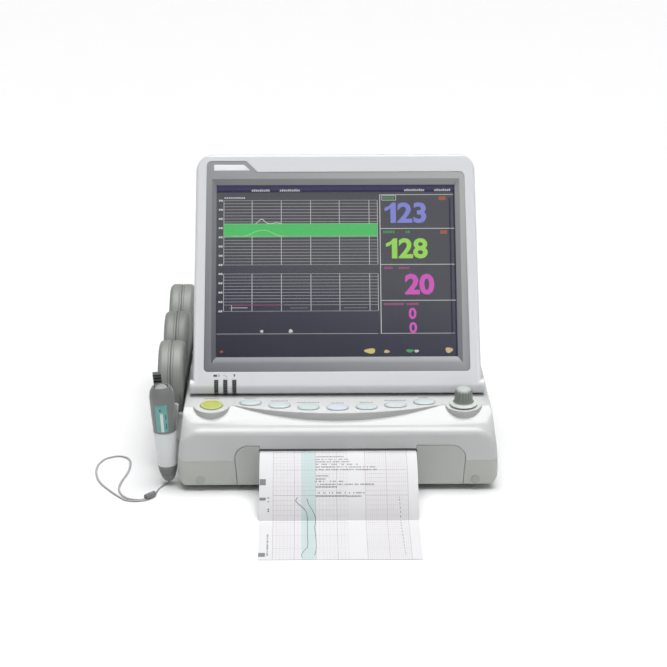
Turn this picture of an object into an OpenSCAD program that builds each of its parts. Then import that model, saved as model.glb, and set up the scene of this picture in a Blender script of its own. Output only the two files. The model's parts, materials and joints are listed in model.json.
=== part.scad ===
// Fetal monitor: a base with a strip printer drawer, a display head that folds down on it,
// a side cradle with three cordless transducers, and a patient marker on a wrist strap.
// X runs to the right, Y to the back and Z up, in millimetres.
// The origin is on the table, under the middle of the base.

/* [Base] */
// Width of the base along its parting line, at the front
base_w = 308.4; // [300:0.2:330]
// Depth of the base
base_d = 330; // [326:1:360]
// Height of the deck above the table
deck_h = 75; // [74:0.5:90]
// Height of the line where the two covers part
split_h = 30; // [26:0.5:31]
// Height of the rubber feet
foot_h = 5; // [4:0.5:6]
// Wall of the base covers
wall = 2.8; // [2.2:0.1:3.2]
// Lean of the side walls above the parting line, in degrees
side_draft = 5.8; // [2:0.1:7]
// Angle by which each side closes in towards the back, in degrees
side_taper = 1; // [0:0.1:1.2]
// Radius of the upright corners
corner_r = 9; // [8:1:14]
// Radius of the front face's two upper corners, inside the ridge that goes round them
corner_in = 14; // [8:1:18]
// Radius along the bottom edge
bottom_r = 12; // [8:1:13]
// Radius along the top edge
top_r = 5; // [4:0.5:7]

/* [Console] */
// Height of the ridge over the front face
roll_h = 62.5; // [60:0.5:64]
// Radius of the ridge over the front face
roll_r = 9; // [6:0.5:11]
// Distance from the front face to the foot of the slope
valley_y = 14; // [12:0.5:16]
// Distance from the front face to the top of the slope
slope_y = 37.7; // [34:0.5:42]
// Distance from the front face to the line where the level deck starts
deck_y = 64.7; // [62:0.1:70]
// Fall of the console towards the front, in degrees
console_fall = 4; // [2:0.5:5]
// Radius of the round pods at the two ends of the console
pod_r = 17.5; // [16:0.5:19]
// Distance of the pods from the middle
pod_x = 122; // [120:0.5:125]
// Distance from the front face to the centre of the pods
pod_y = 39; // [37:0.5:42]
// Radius of the shelf that carries the keys
shelf_r = 275; // [260:5:300]
// Distance from the front face to the shelf's foremost point
shelf_y = 19.2; // [18:0.2:22]

/* [Keys] */
// Length of a key cap
key_l = 20.6; // [16:0.2:23]
// Width of a key cap
key_w = 13; // [10:0.2:14]
// Distance between neighbouring keys
key_pitch = 28.1; // [25:0.1:29]
// Distance from the front face to the middle key
key_y = 32.6; // [30:0.2:36]
// Radius of the arc that the keys lie on
key_arc_r = 290; // [260:5:320]
// Height of a key cap over the console
key_rise = 1.2; // [0.9:0.1:1.6]
// Travel of a key
key_travel = 0.8; // [0.4:0.1:1]
// Gap round a key
key_gap = 0.3; // [0.2:0.05:0.4]
// Diameter of the start button
start_d = 21.5; // [18:0.5:24]
// Travel of the start button
start_travel = 1; // [0.5:0.1:1.2]
// Diameter of the rotary knob's skirt
knob_skirt_d = 27.3; // [24:0.1:29]
// Diameter of the knob's grip
knob_d = 17; // [14:0.5:19]
// Height of the knob over the console
knob_h = 17.5; // [14:0.5:20]
// Travel of the knob when it is pressed
knob_travel = 0.6; // [0.3:0.1:0.8]
// Diameter of the knob's shaft
shaft_d = 6; // [5:0.5:7]

/* [Display head] */
// Lean of the display from the vertical when it is open, in degrees
lean = 35; // [30:0.5:38]
// Width of the head at the chin
head_w = 282; // [276:1:286]
// Length of the head from the chin line to the top edge
head_top = 253.2; // [250:0.2:256]
// Thickness of the head
head_t = 40; // [38:0.5:44]
// Depth of the front frame of the head
frame_t = 16; // [16:0.5:20]
// Wall of the head's two shells
head_wall = 2.5; // [2:0.1:3]
// Angle by which each side of the head closes in towards the top, in degrees
head_taper = 0.54; // [0:0.02:0.8]
// Radius of the head's two top corners
head_corner_r = 19; // [12:1:20]
// Radius of the rounded chin
nose_r = 7; // [6:0.25:7.5]
// How far the chin sticks out past each side of the head
lip = 2.5; // [1:0.1:3.5]
// Radius of the round back edge that turns about the hinge
barrel_r = 13; // [12:0.25:14]
// Gap between the head and the deck
deck_gap = 0.8; // [0.5:0.1:1.5]
// Width of the white frame beside the grey surround
surround_margin = 11; // [10:0.1:13]
// Width of the grey surround beside the screen
screen_margin = 11.6; // [10:0.1:13]
// Height of the visible screen
screen_l = 177.6; // [170:0.2:180]
// Distance from the chin line to the lower edge of the screen
screen_v = 43.8; // [42:0.2:46]
// Distance from the chin line to the lower edge of the surround
surround_v = 27.5; // [25:0.5:30]
// Width of the white frame above the grey surround
surround_over = 19.7; // [18:0.1:22]
// Depth at which the screen lies in the surround
surround_t = 5; // [4:0.25:5.5]
// Thickness of the window over the screen
window_t = 1.2; // [0.8:0.1:1.4]
// Distance of the hinges from the middle
hinge_x = 95; // [80:1:105]
// Width of a hinge tower
hinge_w = 24; // [20:1:28]
// Diameter of the hinge pins
hinge_pin_d = 6; // [5:0.5:7]
// Distance of the head's screws from its sides
head_screw_in = 6.6; // [6.4:0.1:6.8]

/* [Printer drawer] */
// Left end of the drawer front, from the middle
drawer_left = 98.8; // [97:0.2:102]
// Right end of the drawer front, from the middle
drawer_right = 122.3; // [121:0.2:124]
// Height of the drawer front's top edge
drawer_top = 45.8; // [45.6:0.2:48]
// Radius of the drawer front's top corners
drawer_r = 13; // [10:0.5:14]
// Amount that the drawer front narrows at each side towards its foot
drawer_slant = 2.3; // [0:0.1:3]
// Width of the paper slot
slot_w = 151.6; // [151:0.2:153]
// Height of the slot's lower lip
slot_low = 38.6; // [38:0.2:39]
// Height of the slot's upper lip
slot_top = 41.7; // [41.6:0.1:42.4]
// Gap round the drawer front
drawer_gap = 0.4; // [0.3:0.05:0.5]
// Reach of the paper before it folds onto the table
strip_reach = 75.6; // [70:0.2:90]
// Width of the chart paper
paper_w = 150; // [148:0.5:151]
// Length of one folded page
page_l = 90; // [88:0.5:92]
// Height of the folded paper stack
stack_h = 15; // [8:0.5:16]
// Thickness that stands for one sheet
sheet_t = 0.4; // [0.3:0.05:0.5]
// Diameter of the platen roller
platen_d = 14; // [13:0.2:14.2]
// Diameter of the platen shaft
platen_shaft_d = 6; // [5:0.5:7]
// Module of the paper drive's gears
gear_m = 0.8; // [0.76:0.01:0.81]
// Teeth of the platen gear
gear_teeth = 28; // [26:2:28]
// Teeth of the motor pinion
pinion_teeth = 14; // [12:1:16]
// Width of the gears
gear_w = 4.5; // [3:0.5:4.5]
// Diameter of the drive motor
motor_d = 30; // [24:1:30]
// Length of the drive motor
motor_l = 20; // [14:1:20]

/* [Cradle and transducers] */
// Diameter of a transducer
disc_d = 82; // [76:0.5:83]
// Thickness of a transducer
disc_t = 25.2; // [22:0.2:26]
// Radius of a transducer's edges
disc_edge_r = 4.5; // [2:0.5:6]
// Height of the transducers' centres
disc_z = 74; // [73.5:0.5:78]
// Distance from the front face to the first transducer's centre
disc_y = 105; // [104:0.5:108]
// Distance between neighbouring transducers
disc_pitch = 90; // [88:0.5:92]
// Height of the cradle's rim
cradle_h = 56; // [48:0.5:60]
// Wall of the cradle
cradle_wall = 2.4; // [2:0.1:3]

/* [Marker] */
// Length of the marker
marker_l = 97; // [92:0.5:100]
// Diameter of the marker at its head
marker_d = 24; // [22:0.2:25]
// Diameter of the marker where the sleeve begins
marker_mid_d = 22; // [20:0.2:22.6]
// Diameter of the marker where the ribbed tip begins
marker_low_d = 18.6; // [17:0.2:19.4]
// Lean of the marker, in degrees
marker_lean = 3.6; // [3.2:0.1:4]
// Distance from the front face to the marker's axis
marker_y = 20; // [19:0.2:20.4]
// Travel of the marker's thumb button
thumb_travel = 1; // [0.5:0.1:1.2]

/* [Fits] */
// Radial clearance of pins and shafts in their bores
run_gap = 0.05; // [0.03:0.01:0.08]
// Gap between a seated piece and its seat
seat_gap = 0.1; // [0.05:0.05:0.2]
// Gap between pieces that slide past each other
slide_gap = 0.3; // [0.25:0.05:0.35]

/* [Hidden] */
$fn = 48;
KEY_COUNT = 7;
DISC_COUNT = 3;

front = -base_d / 2;
floor_z = foot_h + wall;
side_in = (deck_h - split_h) * tan(side_draft);
surround_w = head_w - 2 * surround_margin;
surround_l = head_top - surround_v - surround_over;
screen_w = surround_w - 2 * screen_margin;
mirror_sides = [-1, 1];

// Head geometry in its own plane: x across, y up the display, z out of the display
nose_v = (deck_gap + nose_r * (1 + sin(lean))) / cos(lean);
chin_y = deck_y + 0.5 - nose_v * sin(lean) - nose_r * cos(lean);
axis_w = barrel_r - head_t;
axis_v = (deck_gap + barrel_r - axis_w * sin(lean)) / cos(lean);
axis_y = chin_y + axis_v * sin(lean) - axis_w * cos(lean);
axis_z = deck_h + deck_gap + barrel_r;
tower_r = barrel_r - 2.5;
leaf_t = 3;
chassis_t = 1.2;
lcd_t = frame_t - surround_t - window_t - chassis_t - 2 * seat_gap;
lcd_w = screen_w + 22;
lcd_l = screen_l + 21;
head_screw_x = head_w / 2 - head_screw_in;
head_screw_v = [62, head_top - 48.2];
chassis_top = head_top - 27.2;
head_boss_d = 6;
screw_d = 3;
screw_head_d = 6;
led_x = [for (i = [0:2]) 23.2 + 8.8 * i - head_w / 2];
led_w = 3.8;
led_low = 6.4;
led_high = 19.4;
tab_l = 11.6;

// Console geometry below the deck
stem_drop = 7;
flange_t = 1;
flange_w = 1.2;
board_t = 1.6;
key_board_drop = 10.8;
board_front = 23.4;
encoder_l = 11;
bush_d = 9;
knob_cap_t = 3.2;

// Printer geometry
tray_wall = 2.4;
gear_r = gear_m * gear_teeth / 2;
pinion_r = gear_m * pinion_teeth / 2;
platen_y = wall + tray_wall + slide_gap + gear_r + gear_m;
platen_z = slot_low + 1.4 - platen_d / 2;
pinion_angle = -12;
pinion_y = platen_y + (gear_r + pinion_r) * cos(pinion_angle);
pinion_z = platen_z + (gear_r + pinion_r) * sin(pinion_angle);
tray_z = floor_z + 1.2;
tray_t = 2;
tray_back = 132;
tray_left = drawer_left - 2 * drawer_slant + 1.2;
tray_right = drawer_right - 2 * drawer_slant + 1.2;
gear_x = slot_w / 2 + tray_wall + 3.8;
motor_x = gear_x + gear_w + 2.5;
pinion_shaft_d = 3;
stack_y = tray_back - tray_wall - page_l - 1.6;
rail_back = 152;

// Cradle geometry, measured outward from the base's left side
cradle_z = split_h;
cradle_y = disc_y - disc_d / 2 - 4;
cradle_back = disc_y + (DISC_COUNT - 1) * disc_pitch + disc_d / 2 + 2;
head_room = 4;
disc_in = min(side_in - 2 * slide_gap - 1.4, (base_w - head_w) / 2 - lip - head_room);
disc_out = disc_in - disc_t;
arm_y = marker_y + marker_d / 2 + 2.4;
arm_t = 2.5;
arm_z = 76.7;
arm_low = 50;

// Marker geometry along its own axis
marker_x = -163.4;
marker_z = 3.2;
tip_l = 17;
sleeve_l = 35;
clip_z = 82;
clip_t = 2.8;
clip_y = arm_y - marker_y + arm_t + slide_gap + clip_t / 2;
clip_w = 8;
clip_x = -4;
clip_pin_d = 2.4;
thumb_d = 13.4;

// Wrist strap: points on the table from the strap's lock, round the loop and back
strap_route = [[-183.2, -188.4], [-187, -190.1], [-192, -191.2], [-198.2, -190.8], [-204, -187.6],
    [-210, -180], [-216, -171], [-222, -160.8], [-227, -151.5], [-231, -142], [-234, -131],
    [-235.8, -120], [-236.2, -109], [-234.6, -94], [-229.4, -82], [-221.4, -76], [-214.8, -75],
    [-209, -78.5], [-205, -86.5], [-203.8, -97], [-204.2, -110.4], [-206.2, -124.8],
    [-209.3, -139.1], [-211.1, -153.2], [-210.8, -164.4], [-208.2, -174], [-203.8, -181.6],
    [-198.4, -186.2], [-192.6, -187.9], [-188.4, -187.9], [-185.2, -186.7]];
strap_w = 2.2;
strap_t = 1.4;
string_d = 1.2;
string_route = [[-163.4, -145, 3.1], [-163.5, -145.1, 2.3], [-164.2, -146, 1.2], [-165.8, -148, 0.6],
    [-168, -150.8, 0.6], [-171.6, -157.8, 0.6], [-173.6, -165, 0.9], [-174.6, -171, 1.6],
    [-175.2, -174.8, 2.4], [-175.9, -177.3, 2.8]];
lock_d = 5.6;
lock_l = 12.6;
lock_at = [-175.9, -177.4];
lock_turn = 230;

// Mains side at the back
panel_l = 226;
panel_low = 16;
panel_high = 60;
panel_t = 2;
port_z = 38;
inlet_x = 78;
switch_x = 46;
rocker_w = 15.4;
rocker_l = 22.8;
rocker_swing = 14;
rocker_pin_d = 2.4;
rocker_y = base_d - wall - 3;
switch_w = rocker_w + 2 * slide_gap + 3;
switch_l = rocker_l + 4.6;
earth_x = 102;
lan_x = -84;
usb_x = -56;

// Threaded inserts' pattern for a trolley
trolley_pitch = 100;
trolley_hole_d = 3.3;
trolley_depth = 9;
trolley_y = 200;

pillar_in = 16.2;
pillar_d = 9;
pillars = [for (x = mirror_sides, y = [24, base_d / 2, base_d - 24]) [x * (base_w / 2 - pillar_in), y]];
foot_d = 18;
foot_in = 32.2;
feet = [for (x = mirror_sides, y = [34, base_d - 30]) [x * (base_w / 2 - foot_in), y]];

// Electronics: left and right end, front and rear end, on posts of one height
post_d = 7;
post_in = 6;
board_z = floor_z + 7.2;
board_x = [-130, 30];
board_y = [190, base_d - 20];
supply_x = [38, 114];
supply_y = [194, base_d - 40];
supply_h = 36;
battery_l = 150;
battery_y = [142, 180];
battery_h = 22;
speaker_r = 18;
speaker_y = base_d - 90;
speaker_z = 48;

function arc(c, r, from, to, n = 8) =
    [for (i = [0:n]) let (a = from + (to - from) * i / n) c + r * [cos(a), sin(a)]];

function unit(v) = v / norm(v);

// Catmull-Rom point between p[i] and p[i + 1]
function between(p, i, t) =
    let (a = p[max(i - 1, 0)], b = p[i], c = p[i + 1], d = p[min(i + 2, len(p) - 1)])
    0.5 * (2 * b + (c - a) * t + (2 * a - 5 * b + 4 * c - d) * t * t
        + (3 * b - a - 3 * c + d) * t * t * t);

function smooth(p, k) =
    concat([for (i = [0:len(p) - 2], j = [0:k - 1]) between(p, i, j / k)], [p[len(p) - 1]]);

// Involute of a circle as a polar angle, in degrees
function involute(a) = tan(a) * 180 / PI - a;

// Half the angle that a tooth takes at radius r
function tooth_half(r, m, z, play) =
    let (base = m * z * cos(20) / 2)
    90 / z - play + involute(20) - involute(acos(min(1, base / max(r, base))));

module rounded(w, h, r) {
    square([w - 2 * r, h], center = true);
    square([w, h - 2 * r], center = true);
    for (x = mirror_sides, y = mirror_sides)
        translate([x * (w / 2 - r), y * (h / 2 - r)]) circle(r);
}

module oval(l, w) {
    square([l - w, w], center = true);
    for (x = mirror_sides) translate([x * (l - w) / 2, 0]) circle(d = w);
}

// A flat drawing of y and z, given a length along x
module along_x(l) {
    rotate([90, 0, 90]) linear_extrude(l, center = true) children();
}

// A flat drawing of x and z, given a length along y
module along_y(from, to) {
    translate([0, to, 0]) rotate([90, 0, 0]) linear_extrude(to - from) children();
}

module rod_x(r, from, to) {
    translate([from, 0, 0]) rotate([0, 90, 0]) cylinder(r = r, h = to - from);
}

module block(from, to) {
    translate(from) cube(to - from);
}

module base_frame() {
    translate([0, front, 0]) children();
}

module console_place() {
    translate([0, deck_y, deck_h]) rotate([console_fall, 0, 0]) children();
}

module head_frame() {
    base_frame() translate([0, chin_y, deck_h]) rotate([90 - lean, 0, 0]) children();
}

module cradle_frame() {
    base_frame() translate([-base_w / 2, 0, 0]) rotate([0, 0, -side_taper]) children();
}

module marker_frame() {
    base_frame() translate([marker_x, marker_y, marker_z]) rotate([0, -marker_lean, 0]) children();
}

module tube(path, w, t, sides = 8) {
    n = len(path);
    rings = [for (i = [0:n - 1])
        let (d = unit(path[min(i + 1, n - 1)] - path[max(i - 1, 0)]),
             side = unit(cross([0, 0, 1], d)),
             up = cross(d, side))
        for (k = [0:sides - 1])
            let (a = 360 * (k + 0.5) / sides)
            path[i] + side * w / 2 * cos(a) + up * t / 2 * sin(a)];
    walls = [for (i = [0:n - 2], k = [0:sides - 1])
        let (a = i * sides + k, b = i * sides + (k + 1) % sides)
        each [[a, a + sides, b], [b, a + sides, b + sides]]];
    polyhedron(rings, concat([[for (k = [0:sides - 1]) k]], walls,
        [[for (k = [sides - 1:-1:0]) (n - 1) * sides + k]]), convexity = 8);
}

// Base form

module base_profile(t) {
    fall = (deck_y - slope_y) * tan(console_fall);
    polygon(concat(
        arc([3, foot_h + 3], 3 - min(t, 2.9), 270, 180, 4),
        arc([roll_r, roll_h - roll_r], roll_r - t, 180, 90),
        [[valley_y + 0.4 * t, roll_h - t - 0.3],
         [slope_y + 0.2 * t, deck_h - fall - t - 0.4],
         [slope_y + 4, deck_h - fall - t + 4 * tan(console_fall)],
         [deck_y, deck_h - t]],
        arc([base_d - 10, deck_h - 10], 10 - t, 90, 0),
        arc([base_d - 6, foot_h + 6], 6 - t, 0, -90, 4)));
}

module base_side(t) {
    translate([base_w / 2, 0, 0]) rotate([0, 0, side_taper]) along_y(-40, base_d + 20)
        polygon(concat(
            [[-base_w, foot_h + t]],
            arc([-bottom_r, foot_h + bottom_r], bottom_r - t, -90, 0),
            [[-t, split_h]],
            arc([-side_in - top_r, deck_h - top_r], top_r - t, 0, 90),
            [[-base_w, deck_h - t]]));
}

module base_plan(t) {
    rear = base_w / 2 - base_d * tan(side_taper);
    over = 0.05;
    linear_extrude(deck_h + 20)
        polygon(concat(
            arc([base_w / 2 + over - corner_r, corner_r], corner_r - t, -90, 0),
            arc([rear + over - corner_r, base_d - corner_r], corner_r - t, 0, 90),
            arc([corner_r - rear - over, base_d - corner_r], corner_r - t, 90, 180),
            arc([corner_r - base_w / 2 - over, corner_r], corner_r - t, 180, 270)));
}

// The console's shelf and pods stand out of the slope, level with the deck
module console_shelf(t) {
    low = roll_h + (t == 0 ? 0.5 : -8);
    intersection() {
        console_place() block([-base_w, -60, -20], [base_w, 2, -t]);
        union() {
            for (x = mirror_sides)
                translate([x * pod_x, pod_y, low]) cylinder(r = pod_r - t, h = 30, $fn = 96);
            intersection() {
                translate([0, shelf_y + shelf_r, low]) cylinder(r = shelf_r - t, h = 30, $fn = 240);
                block([-pod_x, 0, 0], [pod_x, slope_y + 6, deck_h]);
            }
        }
    }
}

module cradle_recess(t) {
    translate([-base_w / 2, 0, 0]) rotate([0, 0, -side_taper])
        block([-60, cradle_y - t, cradle_z - 20], [side_in + t, base_d + 40, deck_h + 20]);
}

// The roll turns down into the upright front corners, and fades out into the sides behind them
module front_corner(t) {
    far = 45;
    out = (far - roll_r) * tan(30);
    translate([base_w / 2 + 0.05 - corner_r - corner_in, 0, roll_h - roll_r - corner_in]) difference() {
        block([0, -5, 0], [base_w, far, base_w]);
        rotate([-90, 0, 0]) rotate_extrude() polygon(concat(
            [[0, t]],
            arc([corner_in, roll_r], roll_r - t, -90, 0),
            [[corner_in + roll_r + out - t, far + 1], [0, far + 1]]));
    }
}

module base_form(t) {
    difference() {
        intersection() {
            along_x(base_w + 20) base_profile(t);
            base_plan(t);
            base_side(t);
            mirror([1, 0, 0]) base_side(t);
        }
        front_corner(t);
        mirror([1, 0, 0]) front_corner(t);
    }
    console_shelf(t);
}

module drawer_outline(g) {
    polygon(concat(
        [[drawer_slant - drawer_left - g, foot_h - 4 * g]],
        arc([drawer_r - drawer_left, drawer_top - drawer_r], drawer_r + g, 180, 90),
        arc([drawer_right - drawer_r, drawer_top - drawer_r], drawer_r + g, 90, 0),
        [[drawer_right - drawer_slant + g, foot_h - 4 * g]]));
}

module drawer_mouth() {
    difference() {
        drawer_outline(drawer_gap);
        translate([0, slot_top + 20]) square([slot_w - 2 * drawer_gap, 40], center = true);
    }
}

module key_at(i) {
    x = (i - (KEY_COUNT - 1) / 2) * key_pitch;
    console_place() translate([x, key_y - deck_y + x * x / (2 * key_arc_r), 0]) children();
}

module pod_at(x) {
    console_place() translate([x * pod_x, pod_y - deck_y, 0]) children();
}

module console_holes() {
    for (i = [0:KEY_COUNT - 1])
        key_at(i) translate([0, 0, -12]) linear_extrude(20) oval(key_l + 2 * key_gap, key_w + 2 * key_gap);
    pod_at(-1) translate([0, 0, -12]) cylinder(d = start_d + 2 * key_gap, h = 20, $fn = 64);
    pod_at(1) translate([0, 0, -12]) cylinder(d = 9 + 2 * run_gap, h = 20);
}

module hinge_towers() {
    for (x = mirror_sides)
        translate([x * hinge_x, axis_y, 0]) {
            translate([0, 0, axis_z]) rod_x(tower_r, -hinge_w / 2, hinge_w / 2);
            block([-hinge_w / 2, -tower_r, deck_h - wall], [hinge_w / 2, tower_r, axis_z]);
        }
}

module hinge_tower_slots() {
    slot = leaf_t + 2 * seat_gap;
    for (x = mirror_sides)
        translate([x * hinge_x, axis_y, 0]) {
            translate([0, 0, axis_z]) rod_x(hinge_pin_d / 2 + run_gap, -hinge_w, hinge_w);
            translate([0, 0, axis_z]) rod_x(tower_r - 2, -slot / 2, slot / 2);
            block([-slot / 2, 2 - tower_r, deck_h - 2 * wall], [slot / 2, tower_r - 2, axis_z]);
        }
}

module side_grille() {
    for (i = [-3:3]) let (half = 0.8 * sqrt(400 - 36 * i * i))
        translate([base_w / 2 - 16, speaker_y + 6 * i, speaker_z]) block([0, -1.2, -half], [30, 1.2, half]);
}

module rear_opening() {
    block([4 - panel_l / 2, base_d - wall - 2, panel_low + 4],
        [panel_l / 2 - 4, base_d + 5, panel_high - 4]);
}

module rear_vents() {
    for (i = [0:11])
        block([-60 + 10 * i, base_d - 50, deck_h - wall - 1], [-57 + 10 * i, base_d - 26, deck_h + 1]);
}

module top_cover_bosses() {
    for (p = pillars) translate([p[0], p[1], split_h]) cylinder(d = pillar_d, h = 60);
    for (x = mirror_sides) {
        block([x * 60 - 5, platen_y - 2, slot_top + 5.8 + seat_gap],
            [x * 60 + 5, board_front - 0.4, deck_h]);
        console_place() {
            block([x * 92 - 4, board_front + 1 - deck_y, seat_gap - key_board_drop],
                [x * 92 + 4, board_front + 7 - deck_y, 0]);
            block([x * 100.2 - 2.8, board_front + 22 - deck_y, seat_gap - key_board_drop],
                [x * 100.2 + 2.8, board_front + 28 - deck_y, 0]);
        }
    }
}

module base_top_cover() {
    color([0.93, 0.94, 0.95]) base_frame() difference() {
        union() {
            difference() {
                base_form(0);
                difference() {
                    base_form(wall);
                    cradle_recess(wall);
                }
                cradle_recess(0);
            }
            intersection() {
                top_cover_bosses();
                base_form(wall / 2);
            }
            hinge_towers();
        }
        block([-base_w, -50, 0], [base_w, base_d + 50, split_h]);
        along_y(-5, wall + 2) drawer_mouth();
        for (p = pillars) translate([p[0], p[1], 0]) cylinder(d = screw_d + 2 * run_gap, h = split_h + 16);
        rear_opening();
        hinge_tower_slots();
        side_grille();
        rear_vents();
        console_holes();
    }
}

// Four posts under the corners of a board
module posts(along, back) {
    for (x = along + [post_in, -post_in], y = back + [post_in, -post_in])
        translate([x, y, 0]) cylinder(d = post_d, h = board_z);
}

module base_bottom_cover() {
    color([0.62, 0.64, 0.61]) base_frame() difference() {
        union() {
            difference() {
                base_form(0);
                base_form(wall);
            }
            intersection() {
                union() {
                    for (p = pillars) translate([p[0], p[1], 0]) cylinder(d = pillar_d, h = split_h);
                    for (x = mirror_sides, y = mirror_sides)
                        translate([x * trolley_pitch / 2, trolley_y + y * trolley_pitch / 2, 0])
                            cylinder(d = 10, h = board_z);
                    posts(board_x, board_y);
                    posts(supply_x, supply_y);
                    for (x = mirror_sides * (battery_l / 2 - 5))
                        block([x - 3, battery_y[0], 0], [x + 3, battery_y[1] - 2, board_z]);
                }
                base_form(wall / 2);
            }
        }
        block([-base_w, -50, split_h], [base_w, base_d + 50, deck_h + 50]);
        along_y(-5, wall + drawer_gap) drawer_mouth();
        for (p = pillars) translate([p[0], p[1], 0]) {
            cylinder(d = screw_d + 0.4, h = split_h + 1);
            cylinder(d = screw_head_d + 0.6, h = floor_z + 3);
        }
        for (p = feet) translate([p[0], p[1], 0]) cylinder(d = foot_d + 2 * seat_gap, h = foot_h + 1);
        for (x = mirror_sides, y = mirror_sides)
            translate([x * trolley_pitch / 2, trolley_y + y * trolley_pitch / 2, 0])
                cylinder(d = trolley_hole_d, h = foot_h + trolley_depth);
        rear_opening();
        for (i = [0:9]) block([-110 + 9 * i, 215, 0], [-107 + 9 * i, 245, floor_z + 1]);
        for (x = mirror_sides)
            translate([x * (base_w / 2 - 22), 0, foot_h + 5.7]) along_y(-1, wall + 1) circle(d = 5);
    }
}

module rear_panel() {
    y = base_d - wall - panel_t;
    color([0.55, 0.57, 0.56]) base_frame() difference() {
        block([-panel_l / 2, y, panel_low], [panel_l / 2, y + panel_t, panel_high]);
        translate([0, 0, port_z]) along_y(y - 1, y + panel_t + 1) {
            translate([inlet_x, 0]) square([27.6, 20.6], center = true);
            translate([switch_x, 0])
                square([switch_w + 2 * seat_gap, switch_l + 2 * seat_gap], center = true);
            translate([earth_x, 0]) circle(d = 6.2);
            translate([lan_x, 0]) square([16.4, 13.8], center = true);
            translate([usb_x, 0]) square([14.6, 7.2], center = true);
        }
    }
}

module rubber_feet() {
    color([0.2, 0.2, 0.21]) base_frame()
        for (p = feet) translate([p[0], p[1], 0])
            rotate_extrude() polygon([[0, 0], [foot_d / 2 - 1.5, 0], [foot_d / 2, 1.5],
                [foot_d / 2, foot_h + 1], [0, foot_h + 1]]);
}

module screw(l) {
    difference() {
        union() {
            cylinder(d = screw_d, h = l);
            cylinder(d = screw_head_d, h = 2.4);
        }
        translate([0, 0, -1]) cylinder(d = 2.6, h = 2.6, $fn = 6);
    }
}

module cover_screws() {
    color([0.7, 0.71, 0.72]) base_frame() {
        for (p = pillars) translate([p[0], p[1], floor_z + 0.6]) screw(split_h - floor_z + 12);
        for (x = mirror_sides)
            translate([x * (base_w / 2 - 22), 0, foot_h + 5.7]) rotate([-90, 0, 0]) {
                translate([0, 0, -0.6]) cylinder(d = 8.4, h = 0.6);
                cylinder(d = 5 - 2 * seat_gap, h = wall);
            }
    }
}

// Electronics in the base

module main_board() {
    color([0.15, 0.4, 0.25]) base_frame() {
        block([board_x[0], board_y[0], board_z], [board_x[1], board_y[1], board_z + board_t]);
        for (p = [[30, 25, 22], [70, 35, 28], [110, 30, 18]])
            translate([board_x[0] + p[0], board_y[0] + p[1], board_z + board_t]) cube([p[2], p[2], 2.4]);
        translate([board_x[1] - 60, board_y[1] - 30, board_z + board_t]) cube([40, 12, 8.4]);
    }
}

module power_supply() {
    color([0.75, 0.75, 0.72]) base_frame()
        block([supply_x[0], supply_y[0], board_z], [supply_x[1], supply_y[1], board_z + supply_h]);
}

module battery_pack() {
    color([0.25, 0.3, 0.5]) base_frame()
        block([-battery_l / 2, battery_y[0], board_z], [battery_l / 2, battery_y[1], board_z + battery_h]);
}

module speaker() {
    rise = (speaker_z + speaker_r - split_h) / (deck_h - top_r - split_h);
    face = base_w / 2 - (speaker_y + speaker_r) * tan(side_taper) - rise * side_in - wall - slide_gap;
    color([0.2, 0.2, 0.22]) base_frame() translate([face, speaker_y, speaker_z]) {
        rod_x(speaker_r, -4, 0);
        rod_x(11, -13, -4);
    }
}

module mains_inlet() {
    inlet = [27.4, 20.4];
    color([0.12, 0.12, 0.13]) base_frame() translate([0, base_d - wall, port_z]) {
        difference() {
            union() {
                translate([inlet_x, 0, 0]) along_y(-27, 1) square(inlet, center = true);
                translate([inlet_x, 0, 0]) along_y(0, 1.2) square(inlet + [5, 5], center = true);
                translate([switch_x, 0, 0]) along_y(-18, 1) square([switch_w, switch_l], center = true);
                translate([switch_x, 0, 0]) along_y(0, 1.2)
                    square([switch_w + 4, switch_l + 4], center = true);
                block([switch_x, -18, -6], [inlet_x, -panel_t - 1, 6]);
            }
            translate([inlet_x, 0, 0]) along_y(-16, 5) square([24.4, 17], center = true);
            translate([switch_x, 0, 0]) along_y(-9, 5)
                square([rocker_w + 2 * slide_gap, switch_l - 2], center = true);
            translate([switch_x, rocker_y - base_d + wall, 0])
                rod_x(rocker_pin_d / 2 + run_gap, -switch_w / 2 - 1, switch_w / 2 + 1);
        }
        for (p = [[-7, 2], [7, 2], [0, -3]])
            translate([inlet_x + p[0], 0, p[1]]) block([-1, -17, -2], [1, -7, 2]);
    }
}

module data_ports() {
    color([0.72, 0.73, 0.75]) base_frame() translate([0, base_d - wall, port_z]) {
        difference() {
            translate([lan_x, 0, 0]) along_y(-18, 0.8) square([16.2, 13.6], center = true);
            translate([lan_x, 0, 0]) along_y(-14, 2) square([11.8, 8.4], center = true);
        }
        difference() {
            translate([usb_x, 0, 0]) along_y(-15, 0.8) square([14.4, 7], center = true);
            translate([usb_x, 0, 0]) along_y(-12, 2) square([12.4, 4.8], center = true);
        }
    }
}

module earth_terminal() {
    color([0.8, 0.78, 0.6]) base_frame() translate([earth_x, base_d - wall, port_z]) rotate([-90, 0, 0]) {
        translate([0, 0, -8]) cylinder(d = 6, h = 18);
        cylinder(d = 10, h = 2);
    }
}

module key_board() {
    low = -key_board_drop - board_t;
    color([0.15, 0.4, 0.25]) base_frame() {
        console_place()
            block([-104, board_front - deck_y, low], [104, board_front + 30 - deck_y, low + board_t]);
        for (i = [0:KEY_COUNT - 1]) key_at(i) block([-3, -3, low], [3, 3, key_travel - stem_drop - 1.8]);
        pod_at(-1) block([-9, -7, low], [24, 7, low + board_t]);
        pod_at(-1) block([-3, -3, low], [3, 3, start_travel - stem_drop - 2.2]);
    }
}

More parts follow.
